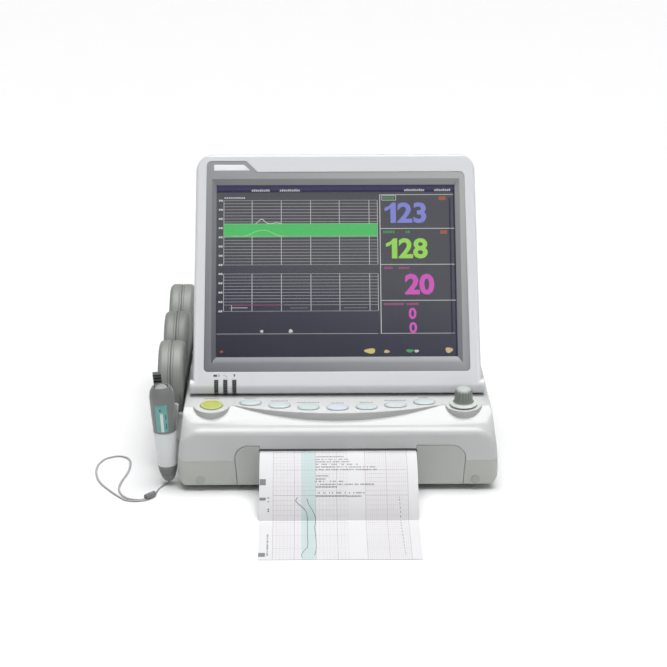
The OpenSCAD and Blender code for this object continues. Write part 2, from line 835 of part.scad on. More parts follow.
module encoder_body() {
    color([0.4, 0.42, 0.45]) base_frame() pod_at(1) difference() {
        union() {
            translate([0, 0, -encoder_l]) linear_extrude(encoder_l - wall - seat_gap)
                square(13, center = true);
            translate([0, 0, -encoder_l]) cylinder(d = bush_d, h = encoder_l);
        }
        translate([0, 0, -encoder_l - 1]) cylinder(d = shaft_d + 2 * run_gap, h = encoder_l + 2);
    }
}

// Console controls

// A push button: its cap through the deck, its flange below and its stem over the switch
module plunger(rise, travel, stem_d) {
    translate([0, 0, -wall - slide_gap]) linear_extrude(wall + slide_gap + rise) children(0);
    translate([0, 0, -wall - slide_gap - flange_t]) linear_extrude(flange_t) children(1);
    translate([0, 0, travel - stem_drop]) cylinder(d = stem_d, h = stem_drop - travel - wall - slide_gap);
}

module key_cap(i, tint) {
    color(tint) base_frame() key_at(i) plunger(key_rise, key_travel, 4) {
        oval(key_l, key_w);
        oval(key_l + 2 * flange_w, key_w + 2 * flange_w);
    }
}

module start_button() {
    color([0.79, 0.81, 0.42]) base_frame() pod_at(-1) plunger(key_rise, start_travel, 5) {
        circle(d = start_d, $fn = 64);
        circle(d = start_d + 2 * flange_w, $fn = 64);
    }
}

module key_1() { key_cap(0, [0.8, 0.85, 0.86]); }
module key_2() { key_cap(1, [0.8, 0.85, 0.86]); }
module key_3() { key_cap(2, [0.78, 0.86, 0.84]); }
module key_4() { key_cap(3, [0.8, 0.84, 0.9]); }
module key_5() { key_cap(4, [0.8, 0.85, 0.86]); }
module key_6() { key_cap(5, [0.8, 0.85, 0.86]); }
module key_7() { key_cap(6, [0.8, 0.85, 0.86]); }

module encoder_shaft() {
    color([0.7, 0.7, 0.72]) base_frame() pod_at(1) translate([0, 0, seat_gap - encoder_l])
        cylinder(d = shaft_d, h = encoder_l + knob_h - knob_cap_t - 2 * seat_gap);
}

module control_knob() {
    low = knob_travel + slide_gap;
    color([0.5, 0.53, 0.5]) base_frame() pod_at(1) difference() {
        union() {
            translate([0, 0, low]) rotate_extrude($fn = 96) polygon([[0, 0], [knob_skirt_d / 2, 0],
                [knob_skirt_d / 2, 1], [knob_d / 2 + 0.8, 2.8], [0, 2.8]]);
            translate([0, 0, low]) linear_extrude(knob_h - low - 2) difference() {
                circle(d = knob_d, $fn = 96);
                for (i = [0:17]) rotate(20 * i) translate([knob_d / 2 + 0.35, 0]) circle(d = 1.6, $fn = 24);
            }
            translate([0, 0, knob_h - 2]) rotate_extrude($fn = 96)
                polygon(concat([[0, 0]], arc([knob_d / 2 - 2.6, 0], 1.8, 0, 90, 5), [[0, 2]]));
        }
        translate([0, 0, -1]) cylinder(d = shaft_d + 2 * run_gap, h = knob_h - knob_cap_t + 1);
    }
}

// The switch is drawn with its lower end pressed in
module power_switch() {
    tilt = rocker_swing / 2;
    color([0.1, 0.1, 0.11]) base_frame() translate([switch_x, rocker_y, port_z]) rotate([tilt, 0, 0]) {
        along_x(rocker_w) polygon([[-3.5, -8], [5, -rocker_l / 2], [6.4, -rocker_l / 2], [5.2, 0],
            [6.4, rocker_l / 2], [5, rocker_l / 2], [-3.5, 8]]);
        rod_x(rocker_pin_d / 2, 0.2 - switch_w / 2, switch_w / 2 - 0.2);
    }
}

// Printer

module print_head() {
    color([0.6, 0.62, 0.64]) base_frame() {
        block([-76, platen_y - 5, slot_top - 0.7], [76, platen_y + 7, slot_top + 1]);
        block([-74, platen_y - 4, slot_top + 1], [74, platen_y + 11, slot_top + 5.8]);
        for (x = mirror_sides)
            block([x * 60 - 6, platen_y - 4, slot_top + 4], [x * 60 + 6, platen_y + 13, slot_top + 5.8]);
    }
}

module drawer_rail() {
    lip = tray_z + tray_t + slide_gap;
    block([-5, 6, floor_z], [slide_gap, rail_back, tray_z - slide_gap]);
    block([slide_gap, 6, floor_z], [1.8, rail_back, lip + 1.5]);
    block([-3, 6, lip], [slide_gap, rail_back, lip + 1.5]);
}

module drawer_rails() {
    color([0.72, 0.73, 0.75]) base_frame() {
        translate([tray_right, 0, 0]) drawer_rail();
        translate([-tray_left, 0, 0]) mirror([1, 0, 0]) drawer_rail();
    }
}

module drawer_front() {
    color([0.61, 0.63, 0.6]) base_frame() difference() {
        intersection() {
            along_y(-1, wall) difference() {
                drawer_outline(0);
                translate([0, slot_low + 20]) square([slot_w, 40], center = true);
            }
            base_form(0);
        }
        block([-60, 1.2, 0], [60, wall + 1, foot_h + 3]);
    }
}

module platen_hole() {
    translate([0, platen_y, platen_z]) rod_x(platen_shaft_d / 2 + run_gap, -gear_x, gear_x);
}

module paper_tray() {
    side = slot_w / 2 + slide_gap;
    color([0.85, 0.86, 0.85]) base_frame() difference() {
        union() {
            block([-tray_left, wall, tray_z], [tray_right, tray_back, tray_z + tray_t]);
            block([10 - tray_left, wall, tray_z], [tray_right - 10, wall + tray_wall, slot_low - 6]);
            for (x = mirror_sides) translate([x * (side + tray_wall / 2), 0, 0])
                block([-tray_wall / 2, wall, tray_z], [tray_wall / 2, tray_back, platen_z + 5]);
            block([-side, tray_back - tray_wall, tray_z], [side, tray_back, platen_z + 5]);
            block([motor_x, wall, tray_z],
                [motor_x + 2, pinion_y + motor_d / 2 + 2, pinion_z + motor_d / 2 - 2]);
        }
        platen_hole();
        translate([0, pinion_y, pinion_z]) rod_x(5 + seat_gap, motor_x - 1, motor_x + 3);
    }
}

module paper_stack() {
    color([0.93, 0.92, 0.94]) base_frame()
        block([-paper_w / 2, stack_y, tray_z + tray_t],
            [paper_w / 2, stack_y + page_l, tray_z + tray_t + stack_h]);
}

// The strip leaves the stack, runs over the platen and out of the slot, falls in an arc and lies flat
function strip_line() =
    let (top = slot_low + 1.4 + slide_gap + sheet_t / 2,
         low = tray_z + tray_t + stack_h + seat_gap + sheet_t / 2,
         drop = top - sheet_t / 2,
         turn = 2 * atan(drop / strip_reach),
         r = strip_reach / sin(turn))
    concat(
        [[stack_y + 40, low], [stack_y + 6, low], [stack_y - 2, low + 1.4], [platen_y + 14, top - 7],
         [platen_y + 8, top - 2.2], [platen_y + 4, top - 0.3], [platen_y, top]],
        arc([0, top - r], r, 90, 90 + turn, 14),
        [[-strip_reach - page_l, sheet_t / 2]]);

function side_of(p, i, d) =
    let (n = len(p),
         u = unit(p[min(i + 1, n - 1)] - p[max(i - 1, 0)]))
    p[i] + d * [-u[1], u[0]];

module paper_strip() {
    line = strip_line();
    n = len(line);
    color([0.95, 0.94, 0.96]) base_frame() along_x(paper_w)
        polygon(concat([for (i = [0:n - 1]) side_of(line, i, sheet_t / 2)],
            [for (i = [n - 1:-1:0]) side_of(line, i, -sheet_t / 2)]));
}

module gear(m, z, w, bore, play = 0.35) {
    tip = m * (z / 2 + 1);
    low = m * (z / 2 - 1.25);
    base = max(low, m * z * cos(20) / 2);
    radii = [base, base + (tip - base) / 3, base + (tip - base) * 2 / 3, tip];
    linear_extrude(w) difference() {
        polygon([for (i = [0:z - 1]) let (c = 360 * i / z)
            each concat(
                [low * [cos(c - 180 / z * 0.62), sin(c - 180 / z * 0.62)]],
                [for (r = radii) let (a = c - tooth_half(r, m, z, play)) r * [cos(a), sin(a)]],
                [for (k = [3:-1:0]) let (r = radii[k], a = c + tooth_half(r, m, z, play))
                    r * [cos(a), sin(a)]],
                [low * [cos(c + 180 / z * 0.62), sin(c + 180 / z * 0.62)]])]);
        circle(bore / 2);
    }
}

module drawer_motor() {
    color([0.35, 0.36, 0.38]) base_frame() translate([0, pinion_y, pinion_z]) difference() {
        union() {
            rod_x(motor_d / 2, motor_x + 2, motor_x + 2 + motor_l);
            rod_x(5, motor_x + 0.2, motor_x + 3);
        }
        rod_x(pinion_shaft_d / 2 + run_gap, motor_x, motor_x + 12);
    }
}

// The pinion is turned so that a gap of its own faces the nearest tooth of the platen gear
module motor_pinion() {
    line = 90 + pinion_angle;
    pitch = 360 / gear_teeth;
    off = line - round(line / pitch) * pitch;
    turn = line + 180 + off * gear_teeth / pinion_teeth - 180 / pinion_teeth;
    color([0.8, 0.7, 0.4]) base_frame() translate([0, pinion_y, pinion_z]) {
        translate([gear_x, 0, 0]) rotate([0, 90, 0]) rotate(turn)
            gear(gear_m, pinion_teeth, gear_w, pinion_shaft_d, 0.55);
        rod_x(pinion_shaft_d / 2, gear_x - 1, motor_x + 10);
    }
}

module platen_roller() {
    color([0.15, 0.15, 0.16]) base_frame() translate([0, platen_y, platen_z]) difference() {
        rod_x(platen_d / 2, -slot_w / 2 + 0.4, slot_w / 2 - 0.4);
        rod_x(platen_shaft_d / 2, -base_w / 2, base_w / 2);
    }
}

module platen_shaft() {
    color([0.75, 0.76, 0.78]) base_frame() translate([0, platen_y, platen_z])
        rod_x(platen_shaft_d / 2, -slot_w / 2 - tray_wall - 3, gear_x + gear_w + 1);
}

module platen_gear() {
    color([0.9, 0.9, 0.88]) base_frame() translate([gear_x, platen_y, platen_z])
        rotate([0, 90, 0]) gear(gear_m, gear_teeth, gear_w, platen_shaft_d);
}

// Display head

module head_profile(t) {
    polygon(concat(
        arc([nose_v, -nose_r], nose_r - t, 90, 180 + lean),
        arc([axis_v, axis_w], barrel_r - t, 180 + lean, 270),
        arc([head_top - 10, 10 - head_t], 10 - t, 270, 360),
        arc([head_top - 4, -4], 4 - t, 0, 90)));
}

module head_side(t) {
    translate([head_w / 2, 0, 0]) rotate([0, 0, head_taper]) along_y(-40, head_top + 20)
        polygon(concat(
            [[-head_w, -t]],
            arc([-4, -4], 4 - t, 90, 0, 6),
            arc([-8, 8 - head_t], 8 - t, 0, -90, 6),
            [[-head_w, t - head_t]]));
}

module head_outline(t) {
    half = head_w / 2 - (head_top - head_corner_r) * tan(head_taper) + 0.05;
    polygon(concat(
        [[-head_w, -30]],
        [[-head_w, head_top - head_corner_r - 40]],
        arc([head_corner_r - half, head_top - head_corner_r], head_corner_r - t, 180, 90),
        arc([half - head_corner_r, head_top - head_corner_r], head_corner_r - t, 90, 0),
        [[head_w, head_top - head_corner_r - 40]],
        [[head_w, -30]]));
}

module head_form(t) {
    intersection() {
        along_x(head_w + 20) head_profile(t);
        head_side(t);
        mirror([1, 0, 0]) head_side(t);
        translate([0, 0, -head_t - 5]) linear_extrude(head_t + 10) head_outline(t);
    }
}

module surround_outline(g) {
    low = surround_w / 2 + g;
    high = surround_w / 2 - surround_l * tan(head_taper) + g;
    top = surround_v + surround_l + g;
    tab = top + tab_l;
    polygon(concat(
        arc([-low + 4, surround_v - g + 4], 4, 270, 180, 4),
        arc([-high + 5, tab - 5], 5, 180, 90, 4),
        [[-high + 39, tab], [-high + 39 + tab_l, top]],
        arc([high - 5, top - 5], 5, 90, 0, 4),
        arc([low - 4, surround_v - g + 4], 4, 0, -90, 4)));
}

module led_slots(g) {
    for (x = led_x)
        translate([x, 0, 0])
            block([-led_w / 2 - g, led_low - g, -2 * nose_r], [led_w / 2 + g, led_high + g, 2]);
}

module alarm_lens_outline(g) {
    top = surround_v + surround_l + tab_l - 3.4;
    low = top - 6.4;
    left = -surround_w / 2 + 9;
    polygon([[left - g, low - g], [left - g, top + g], [left + 29.4 + g, top + g],
        [left + 36 + 2 * g, low - g]]);
}

// Bosses or holes at the head's four screws
module head_bosses(d, from, to) {
    for (x = mirror_sides, v = head_screw_v)
        translate([x * head_screw_x, v, from]) cylinder(d = d, h = to - from);
}

module head_front_frame() {
    color([0.88, 0.89, 0.9]) head_frame() difference() {
        union() {
            difference() {
                union() {
                    head_form(0);
                    translate([0, nose_v, -nose_r]) rod_x(nose_r, -head_w / 2 - lip, head_w / 2 + lip);
                }
                head_form(head_wall);
                block([-head_w, -50, -2 * head_t], [head_w, head_top + 10, -frame_t]);
            }
            head_bosses(head_boss_d, chassis_t - frame_t, -head_wall / 2);
        }
        translate([0, 0, -frame_t]) linear_extrude(frame_t + 1) surround_outline(seat_gap);
        led_slots(seat_gap);
        head_bosses(screw_d + 2 * run_gap, -frame_t - 1, -3);
    }
}

// The surround slopes in to the screen on all four sides
module screen_bevel() {
    x = screen_w / 2;
    low = screen_v;
    high = screen_v + screen_l;
    z = -surround_t - 0.01;
    polyhedron([[-x, low, z], [x, low, z], [x, high, z], [-x, high, z],
        [-x - 5, low - 8.2, 0], [x + 5, low - 8.2, 0], [x + 5, high + 5.4, 0], [-x - 5, high + 5.4, 0]],
        [[0, 1, 2, 3], [7, 6, 5, 4], [4, 5, 1, 0], [5, 6, 2, 1], [6, 7, 3, 2], [7, 4, 0, 3]]);
}

module screen_surround() {
    flange = head_screw_x - head_boss_d / 2;
    color([0.5, 0.51, 0.55]) head_frame() difference() {
        union() {
            translate([0, 0, -surround_t]) linear_extrude(surround_t - 0.3) surround_outline(0);
            block([seat_gap - flange, surround_v - 3, -surround_t],
                [flange - seat_gap, surround_v + surround_l + 3, -head_wall - seat_gap]);
        }
        screen_bevel();
        translate([0, 0, -surround_t - 1]) linear_extrude(surround_t + 2) alarm_lens_outline(seat_gap);
    }
}

module screen_window() {
    color([0.2, 0.2, 0.28, 0.5]) head_frame()
        block([-screen_w / 2 - 4, screen_v - 4, -surround_t - window_t],
            [screen_w / 2 + 4, screen_v + screen_l + 4, -surround_t]);
}

module lcd_panel() {
    v = screen_v + screen_l / 2 - lcd_l / 2;
    z = -surround_t - window_t - seat_gap;
    color([0.3, 0.3, 0.36]) head_frame() {
        block([-lcd_w / 2, v, z - lcd_t], [lcd_w / 2, v + lcd_l, z]);
    }
}

module hinge_leaf() {
    rotate([90, 0, 90]) linear_extrude(leaf_t, center = true) difference() {
        union() {
            translate([axis_v, axis_w]) circle(8);
            polygon([[axis_v - 7.6, axis_w + 2], [axis_v + 7.8, axis_w - 1],
                [axis_v + 30, chassis_t - frame_t], [axis_v - 3, chassis_t - frame_t]]);
        }
        translate([axis_v, axis_w]) circle(hinge_pin_d / 2 + run_gap);
    }
}

module head_chassis() {
    half = head_screw_x - head_boss_d / 2 - slide_gap;
    color([0.7, 0.71, 0.72]) head_frame() difference() {
        union() {
            block([-half, axis_v - 3, -frame_t], [half, chassis_top, chassis_t - frame_t]);
            for (v = head_screw_v)
                block([-head_screw_x - 1.4, v - 4, -frame_t],
                    [head_screw_x + 1.4, v + 4, chassis_t - frame_t]);
            for (x = mirror_sides, k = mirror_sides)
                translate([x * hinge_x + k * (hinge_w / 2 + slide_gap + leaf_t / 2), 0, 0]) hinge_leaf();
        }
        head_bosses(screw_d + 0.4, -head_t, 0);
        for (x = mirror_sides, v = head_screw_v)
            translate([x * (head_screw_x + 5), v, -frame_t]) cube([10, 2.4, 6], center = true);
    }
}

module hinge_slot() {
    half = hinge_w / 2 + leaf_t + 2 * slide_gap + 1;
    cut = tower_r + 2 * slide_gap;
    rod_x(barrel_r + 1, -half, half);
    block([-half, -cut, -2 * barrel_r], [half, cut, 0]);
    rotate([lean - 90, 0, 0]) block([-half, -cut, -2 * barrel_r], [half, cut, 0]);
}

module head_rear_shell() {
    color([0.9, 0.91, 0.92]) head_frame() difference() {
        union() {
            difference() {
                head_form(0);
                head_form(head_wall);
            }
            intersection() {
                union() {
                    head_bosses(head_boss_d, -head_t, -frame_t);
                    head_bosses(screw_head_d + 4, -head_t, 10 - head_t);
                }
                head_form(head_wall / 2);
            }
        }
        block([-head_w, -50, -frame_t], [head_w, head_top + 10, 10]);
        for (x = mirror_sides) translate([x * hinge_x, axis_v, axis_w]) hinge_slot();
        head_bosses(screw_d + 0.4, -head_t - 1, 0);
        head_bosses(screw_head_d + 0.6, -head_t - 1, 8 - head_t);
        for (i = [-9:9])
            block([i * 9 - 1.5, head_top - 103.2, -head_t - 1], [i * 9 + 1.5, head_top - 53.2, -head_t + 5]);
    }
}

module head_screws() {
    color([0.6, 0.61, 0.62]) head_frame()
        for (x = mirror_sides, v = head_screw_v)
            translate([x * head_screw_x, v, 5.6 - head_t]) screw(head_t - 10);
}

module indicator_lenses() {
    color([0.12, 0.12, 0.13]) head_frame() {
        intersection() {
            difference() {
                head_form(0.1);
                head_form(head_wall);
            }
            led_slots(0);
        }
        translate([0, 0, -surround_t + 1]) linear_extrude(surround_t - 1.2) alarm_lens_outline(0);
    }
}

// Hinges of the head

module hinge_brackets() {
    color([0.55, 0.56, 0.58]) base_frame()
        for (x = mirror_sides) translate([x * hinge_x, axis_y, 0]) {
            translate([0, 0, axis_z]) rod_x(tower_r - 2.4, -leaf_t / 2, leaf_t / 2);
            block([-leaf_t / 2, 2.4 - tower_r, deck_h - wall - 12], [leaf_t / 2, tower_r - 2.4, axis_z]);
            block([-14, -14, deck_h - wall - 3], [14, 14, deck_h - wall]);
            translate([0, 0, axis_z]) rod_x(hinge_pin_d / 2, -hinge_w / 2 - 4.4, hinge_w / 2 + 4.4);
        }
}

// Cradle and transducers

module disc_at(i) {
    cradle_frame() translate([0, disc_y + i * disc_pitch, disc_z]) children();
}

module transducer_cradle() {
    out = disc_out - slide_gap - cradle_wall;
    color([0.8, 0.81, 0.8]) difference() {
        union() {
            cradle_frame() block([out, cradle_y, cradle_z], [side_in - seat_gap, cradle_back, cradle_h]);
            base_frame() {
                block([marker_x - 15, arm_y, arm_low], [-base_w / 2 - 0.6, arm_y + arm_t, arm_z]);
                block([-base_w / 2 - 3, arm_y, arm_low], [-base_w / 2 - 0.6, cradle_y + 2, arm_z - 10]);
            }
        }
        for (i = [0:DISC_COUNT - 1])
            disc_at(i) rod_x(disc_d / 2 + slide_gap, disc_out - slide_gap, disc_in + slide_gap);
        for (i = [1:DISC_COUNT - 1])
            cradle_frame() translate([0, disc_y + (i - 0.5) * disc_pitch, 0])
                block([out + cradle_wall, -4.4, cradle_z - 1], [disc_in, 4.4, cradle_h - 3]);
    }
}

module disc_half_profile() {
    r = disc_d / 2;
    h = disc_t / 2;
    polygon(concat([[0, 0.15], [r - 0.8, 0.15], [r - 0.8, 0.6], [r, 0.6]],
        arc([r - disc_edge_r, h - disc_edge_r], disc_edge_r, 0, 90, 6),
        [[0, h]]));
}

module transducer_half(i, side, tint) {
    color(tint) disc_at(i) translate([(disc_in + disc_out) / 2, 0, 0]) rotate([0, 90 * side, 0])
        rotate_extrude($fn = 120) disc_half_profile();
}

module transducer_1_cap() { transducer_half(0, -1, [0.57, 0.58, 0.55]); }
module transducer_1_body() { transducer_half(0, 1, [0.57, 0.58, 0.55]); }
module transducer_2_cap() { transducer_half(1, -1, [0.57, 0.58, 0.55]); }
module transducer_2_body() { transducer_half(1, 1, [0.57, 0.58, 0.55]); }
module transducer_3_cap() { transducer_half(2, -1, [0.57, 0.58, 0.55]); }
module transducer_3_body() { transducer_half(2, 1, [0.57, 0.58, 0.55]); }

// Marker

module marker_body() {
    z0 = tip_l + sleeve_l;
    color([0.52, 0.53, 0.53]) marker_frame() difference() {
        union() {
            rotate_extrude($fn = 72) polygon([[0, z0], [marker_mid_d / 2, z0], [marker_d / 2, marker_l - 13],
                [marker_d / 2, marker_l - 9], [marker_d / 2 - 1.2, marker_l - 4],
                [thumb_d / 2 + 2.2, marker_l], [0, marker_l]]);
            block([clip_x - 6, 6, z0 + 4], [clip_x + 6, arm_y - marker_y - slide_gap, clip_z - 5]);
            for (s = mirror_sides)
                translate([clip_x + s * (clip_w / 2 + 1.8), 0, 0]) {
                    block([-1.2, 6, clip_z - 5], [1.2, clip_y, clip_z + 3]);
                    translate([0, clip_y, clip_z]) rod_x(3, -1.2, 1.2);
                }
        }
        translate([0, 0, marker_l - 4]) cylinder(d = thumb_d + 2 * slide_gap, h = 10);
        translate([clip_x, clip_y, clip_z]) rod_x(clip_pin_d / 2 + run_gap, -clip_w, clip_w);
    }
}

module marker_sleeve() {
    color([0.93, 0.93, 0.94]) marker_frame() rotate_extrude($fn = 72)
        polygon([[0, tip_l], [marker_low_d / 2, tip_l], [marker_mid_d / 2 - 0.1, tip_l + sleeve_l - 0.8],
            [marker_mid_d / 2 - 0.3, tip_l + sleeve_l], [0, tip_l + sleeve_l]]);
}

module marker_tip() {
    low_r = marker_low_d / 2;
    color([0.36, 0.37, 0.38]) marker_frame() rotate_extrude($fn = 72)
        polygon([[0, 0], [3.2, 0], [5.4, 2], [7, 5], [7.9, 8], [7.3, 8.6], [8.2, 9.2], [low_r - 0.6, 12],
            [low_r - 1.3, 12.6], [low_r - 0.4, 13.2], [low_r - 0.1, tip_l], [0, tip_l]]);
}

module marker_button() {
    color([0.66, 0.67, 0.67]) marker_frame() translate([0, 0, marker_l - 4 + thumb_travel + seat_gap])
        rotate_extrude() polygon([[0, 0], [thumb_d / 2, 0], [thumb_d / 2, 3.2],
            [thumb_d / 2 - 1, 4.2], [0, 4.8]]);
}

module marker_clip() {
    color([0.33, 0.33, 0.34]) marker_frame() translate([clip_x, 0, 0]) {
        translate([0, clip_y, 0]) along_x(clip_w)
            polygon([[-clip_t / 2, clip_z - 8], [-clip_t / 2, 48], [0.4, 46], [clip_t / 2, 50],
                [clip_t / 2, clip_z - 4], [2, clip_z], [1, clip_z + 5], [-1, marker_l + 4],
                [-2, marker_l + 8], [-4.6, marker_l + 10], [-5.4, marker_l + 7], [-4, marker_l + 3],
                [-2.6, clip_z + 5], [-1.6, clip_z]]);
        translate([0, clip_y, clip_z]) rod_x(clip_pin_d / 2, -clip_w / 2 - 3, clip_w / 2 + 3);
    }
}

module strap_string() {
    color([0.5, 0.5, 0.5]) tube(smooth(string_route, 2), string_d, string_d);
}

module strap_lock() {
    color([0.45, 0.45, 0.46]) translate([lock_at[0], lock_at[1], lock_d / 2]) rotate([0, 0, lock_turn - 90])
        rotate([-90, 0, 0]) cylinder(d = lock_d, h = lock_l);
}

module strap_loop() {
    path = [for (p = strap_route) [p[0], p[1], strap_t / 2]];
    color([0.6, 0.6, 0.6]) tube(smooth(path, 2), strap_w, strap_t);
}

base_top_cover();
base_bottom_cover();
rear_panel();
rubber_feet();
cover_screws();
main_board();
power_supply();
battery_pack();
speaker();
mains_inlet();
data_ports();
earth_terminal();
key_board();
encoder_body();
print_head();
drawer_rails();
hinge_brackets();
transducer_cradle();
start_button();
key_1();
key_2();
key_3();
key_4();
key_5();
key_6();
key_7();
encoder_shaft();
control_knob();
power_switch();
drawer_front();
paper_tray();
paper_stack();
paper_strip();
drawer_motor();
motor_pinion();
platen_roller();
platen_shaft();
platen_gear();
head_front_frame();
screen_surround();
screen_window();
lcd_panel();
head_chassis();
head_rear_shell();
head_screws();
indicator_lenses();
transducer_1_cap();
transducer_1_body();
transducer_2_cap();
transducer_2_body();
transducer_3_cap();
transducer_3_body();
marker_body();
marker_sleeve();
marker_tip();
marker_button();
marker_clip();
strap_string();
strap_lock();
strap_loop();
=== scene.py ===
"""Looks of a fetal monitor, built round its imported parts.

Lengths are in millimetres, and MM makes them metres where the scene takes metres. A point on the
head is (x, v, w): v runs up along the screen and w out of it. A point on the chart paper is (x, s),
with s along the strip from the front face."""
import json
import math

import bpy
from mathutils import Matrix, Vector

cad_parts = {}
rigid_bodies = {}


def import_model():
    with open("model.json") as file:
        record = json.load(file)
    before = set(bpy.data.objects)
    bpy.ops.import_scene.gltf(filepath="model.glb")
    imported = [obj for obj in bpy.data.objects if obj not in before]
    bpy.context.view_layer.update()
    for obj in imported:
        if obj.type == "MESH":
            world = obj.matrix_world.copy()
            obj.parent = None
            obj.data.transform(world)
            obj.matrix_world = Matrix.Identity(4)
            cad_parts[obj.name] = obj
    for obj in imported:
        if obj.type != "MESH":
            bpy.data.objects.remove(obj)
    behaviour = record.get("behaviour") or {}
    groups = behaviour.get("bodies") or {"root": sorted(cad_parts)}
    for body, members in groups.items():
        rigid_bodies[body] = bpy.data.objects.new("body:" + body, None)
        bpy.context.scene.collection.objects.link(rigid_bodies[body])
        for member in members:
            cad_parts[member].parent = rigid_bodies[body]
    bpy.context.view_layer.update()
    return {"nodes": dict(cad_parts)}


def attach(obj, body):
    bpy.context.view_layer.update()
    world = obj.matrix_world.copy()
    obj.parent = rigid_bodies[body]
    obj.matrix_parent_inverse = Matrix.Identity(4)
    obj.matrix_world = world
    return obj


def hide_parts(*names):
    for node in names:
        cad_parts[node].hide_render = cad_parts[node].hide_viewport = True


MM = 0.001

for left in list(bpy.data.objects):
    bpy.data.objects.remove(left)
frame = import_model()
nodes = frame["nodes"]

# Sizes that the part's source has too

# The base, with y counted from its front face
FRONT = -165.0
SPLIT_H = 30.0
SIDE_DRAFT = math.radians(5.8)
DECK_H = 75.0
DECK_Y = 64.7
CONSOLE_FALL = math.radians(4)
POD_X = 122.0
POD_Y = 39.0
# The display head
LEAN = math.radians(35)
CHIN_Y = 51.193
NOSE_V = 14.42
NOSE_R = 7.0
# The chart paper
STRIP_REACH = 75.6
STRIP_TOP = 40.5
SHEET_T = 0.4
PAPER_W = 150.0
# The marker's tip
MARKER_X = -163.4
MARKER_Y = 20.0
MARKER_Z = 3.2
MARKER_LEAN = math.radians(3.6)
# The transducers and their rack
DISC_D = 82.0
DISC_T = 25.2
DISC_Y = 105.0
DISC_Z = 74.0
DISC_PITCH = 90.0
DISC_COUNT = 3
DISC_GAP = 2.0
RACK_X = -154.2
RACK_TURN = math.radians(-1)


def add_object(name, data):
    """A new object in the scene."""
    o = bpy.data.objects.new(name, data)
    bpy.context.scene.collection.objects.link(o)
    return o


# Camera, in metres

CAMERA_AT = (-0.0338, -2.5757, 0.98987)
CAMERA_TURN = (math.radians(71), 0.0, math.radians(-0.7))
FOCAL_LENGTH = 145.73


def make_camera():
    """The camera that took the photo, as fitted."""
    data = bpy.data.cameras.new("photo_camera")
    data.sensor_width = 36.0
    data.lens = FOCAL_LENGTH
    data.clip_start = 0.1
    data.clip_end = 50.0
    camera = add_object("photo_camera", data)
    camera.location = CAMERA_AT
    camera.rotation_euler = CAMERA_TURN
    bpy.context.scene.camera = camera


make_camera()


# Materials

GRAIN_DEPTH = 0.2 * MM


def linear(c):
    """One channel from 0 to 255, as linear light."""
    c = c / 255
    return c / 12.92 if c <= 0.04045 else ((c + 0.055) / 1.055) ** 2.4


def colour(r, g, b):
    """A colour from 0 to 255, as opaque linear light."""
    return (linear(r), linear(g), linear(b), 1.0)


def shade(c, k):
    """A colour made k times as bright."""
    return (*(min(1.0, channel * k) for channel in c[:3]), 1.0)


def node_of(material, kind):
    """The first node of that type in a material."""
    return next(n for n in material.node_tree.nodes if n.type == kind)


def finish_of(name, rgb, rough=0.4, grain=1200.0, bump=0.04, vary=0.05, metal=0.0, soft_edge=0.0,
              spread=0.05, patch=22.0, warp=(1, 1, 1), dim=1.0):
    """A procedural surface: slow colour and gloss variation over a fine grain."""
    base = shade(colour(*rgb), dim)
    m = bpy.data.materials.new(name)
    m.use_nodes = True
    t = m.node_tree
    t.nodes.clear()
    link = t.links.new
    out = t.nodes.new("ShaderNodeOutputMaterial")
    b = t.nodes.new("ShaderNodeBsdfPrincipled")
    link(b.outputs[0], out.inputs[0])
    b.inputs["Metallic"].default_value = metal
    where = t.nodes.new("ShaderNodeTexCoord")
    place = t.nodes.new("ShaderNodeMapping")
    place.inputs["Scale"].default_value = warp
    link(where.outputs["Object"], place.inputs[0])
    cloud = t.nodes.new("ShaderNodeTexNoise")
    cloud.inputs["Scale"].default_value = patch
    cloud.inputs["Detail"].default_value = 5.0
    link(place.outputs[0], cloud.inputs["Vector"])
    ramp = t.nodes.new("ShaderNodeValToRGB")
    ramp.color_ramp.elements[0].position = 0.3
    ramp.color_ramp.elements[0].color = shade(base, 1 - vary)
    ramp.color_ramp.elements[1].position = 0.7
    ramp.color_ramp.elements[1].color = shade(base, 1 + vary)
    link(cloud.outputs[0], ramp.inputs[0])
    link(ramp.outputs[0], b.inputs["Base Color"])
    gloss = t.nodes.new("ShaderNodeMapRange")
    gloss.inputs["To Min"].default_value = rough - spread
    gloss.inputs["To Max"].default_value = rough + spread
    link(cloud.outputs[0], gloss.inputs["Value"])
    link(gloss.outputs[0], b.inputs["Roughness"])
    fine = t.nodes.new("ShaderNodeTexNoise")
    fine.inputs["Scale"].default_value = grain
    fine.inputs["Detail"].default_value = 3.0
    link(place.outputs[0], fine.inputs["Vector"])
    relief = t.nodes.new("ShaderNodeBump")
    relief.inputs["Strength"].default_value = bump
    relief.inputs["Distance"].default_value = GRAIN_DEPTH
    link(fine.outputs[0], relief.inputs["Height"])
    if soft_edge:
        edge = t.nodes.new("ShaderNodeBevel")
        edge.samples = 4
        edge.inputs["Radius"].default_value = soft_edge * MM
        link(edge.outputs[0], relief.inputs["Normal"])
    link(relief.outputs[0], b.inputs["Normal"])
    return m


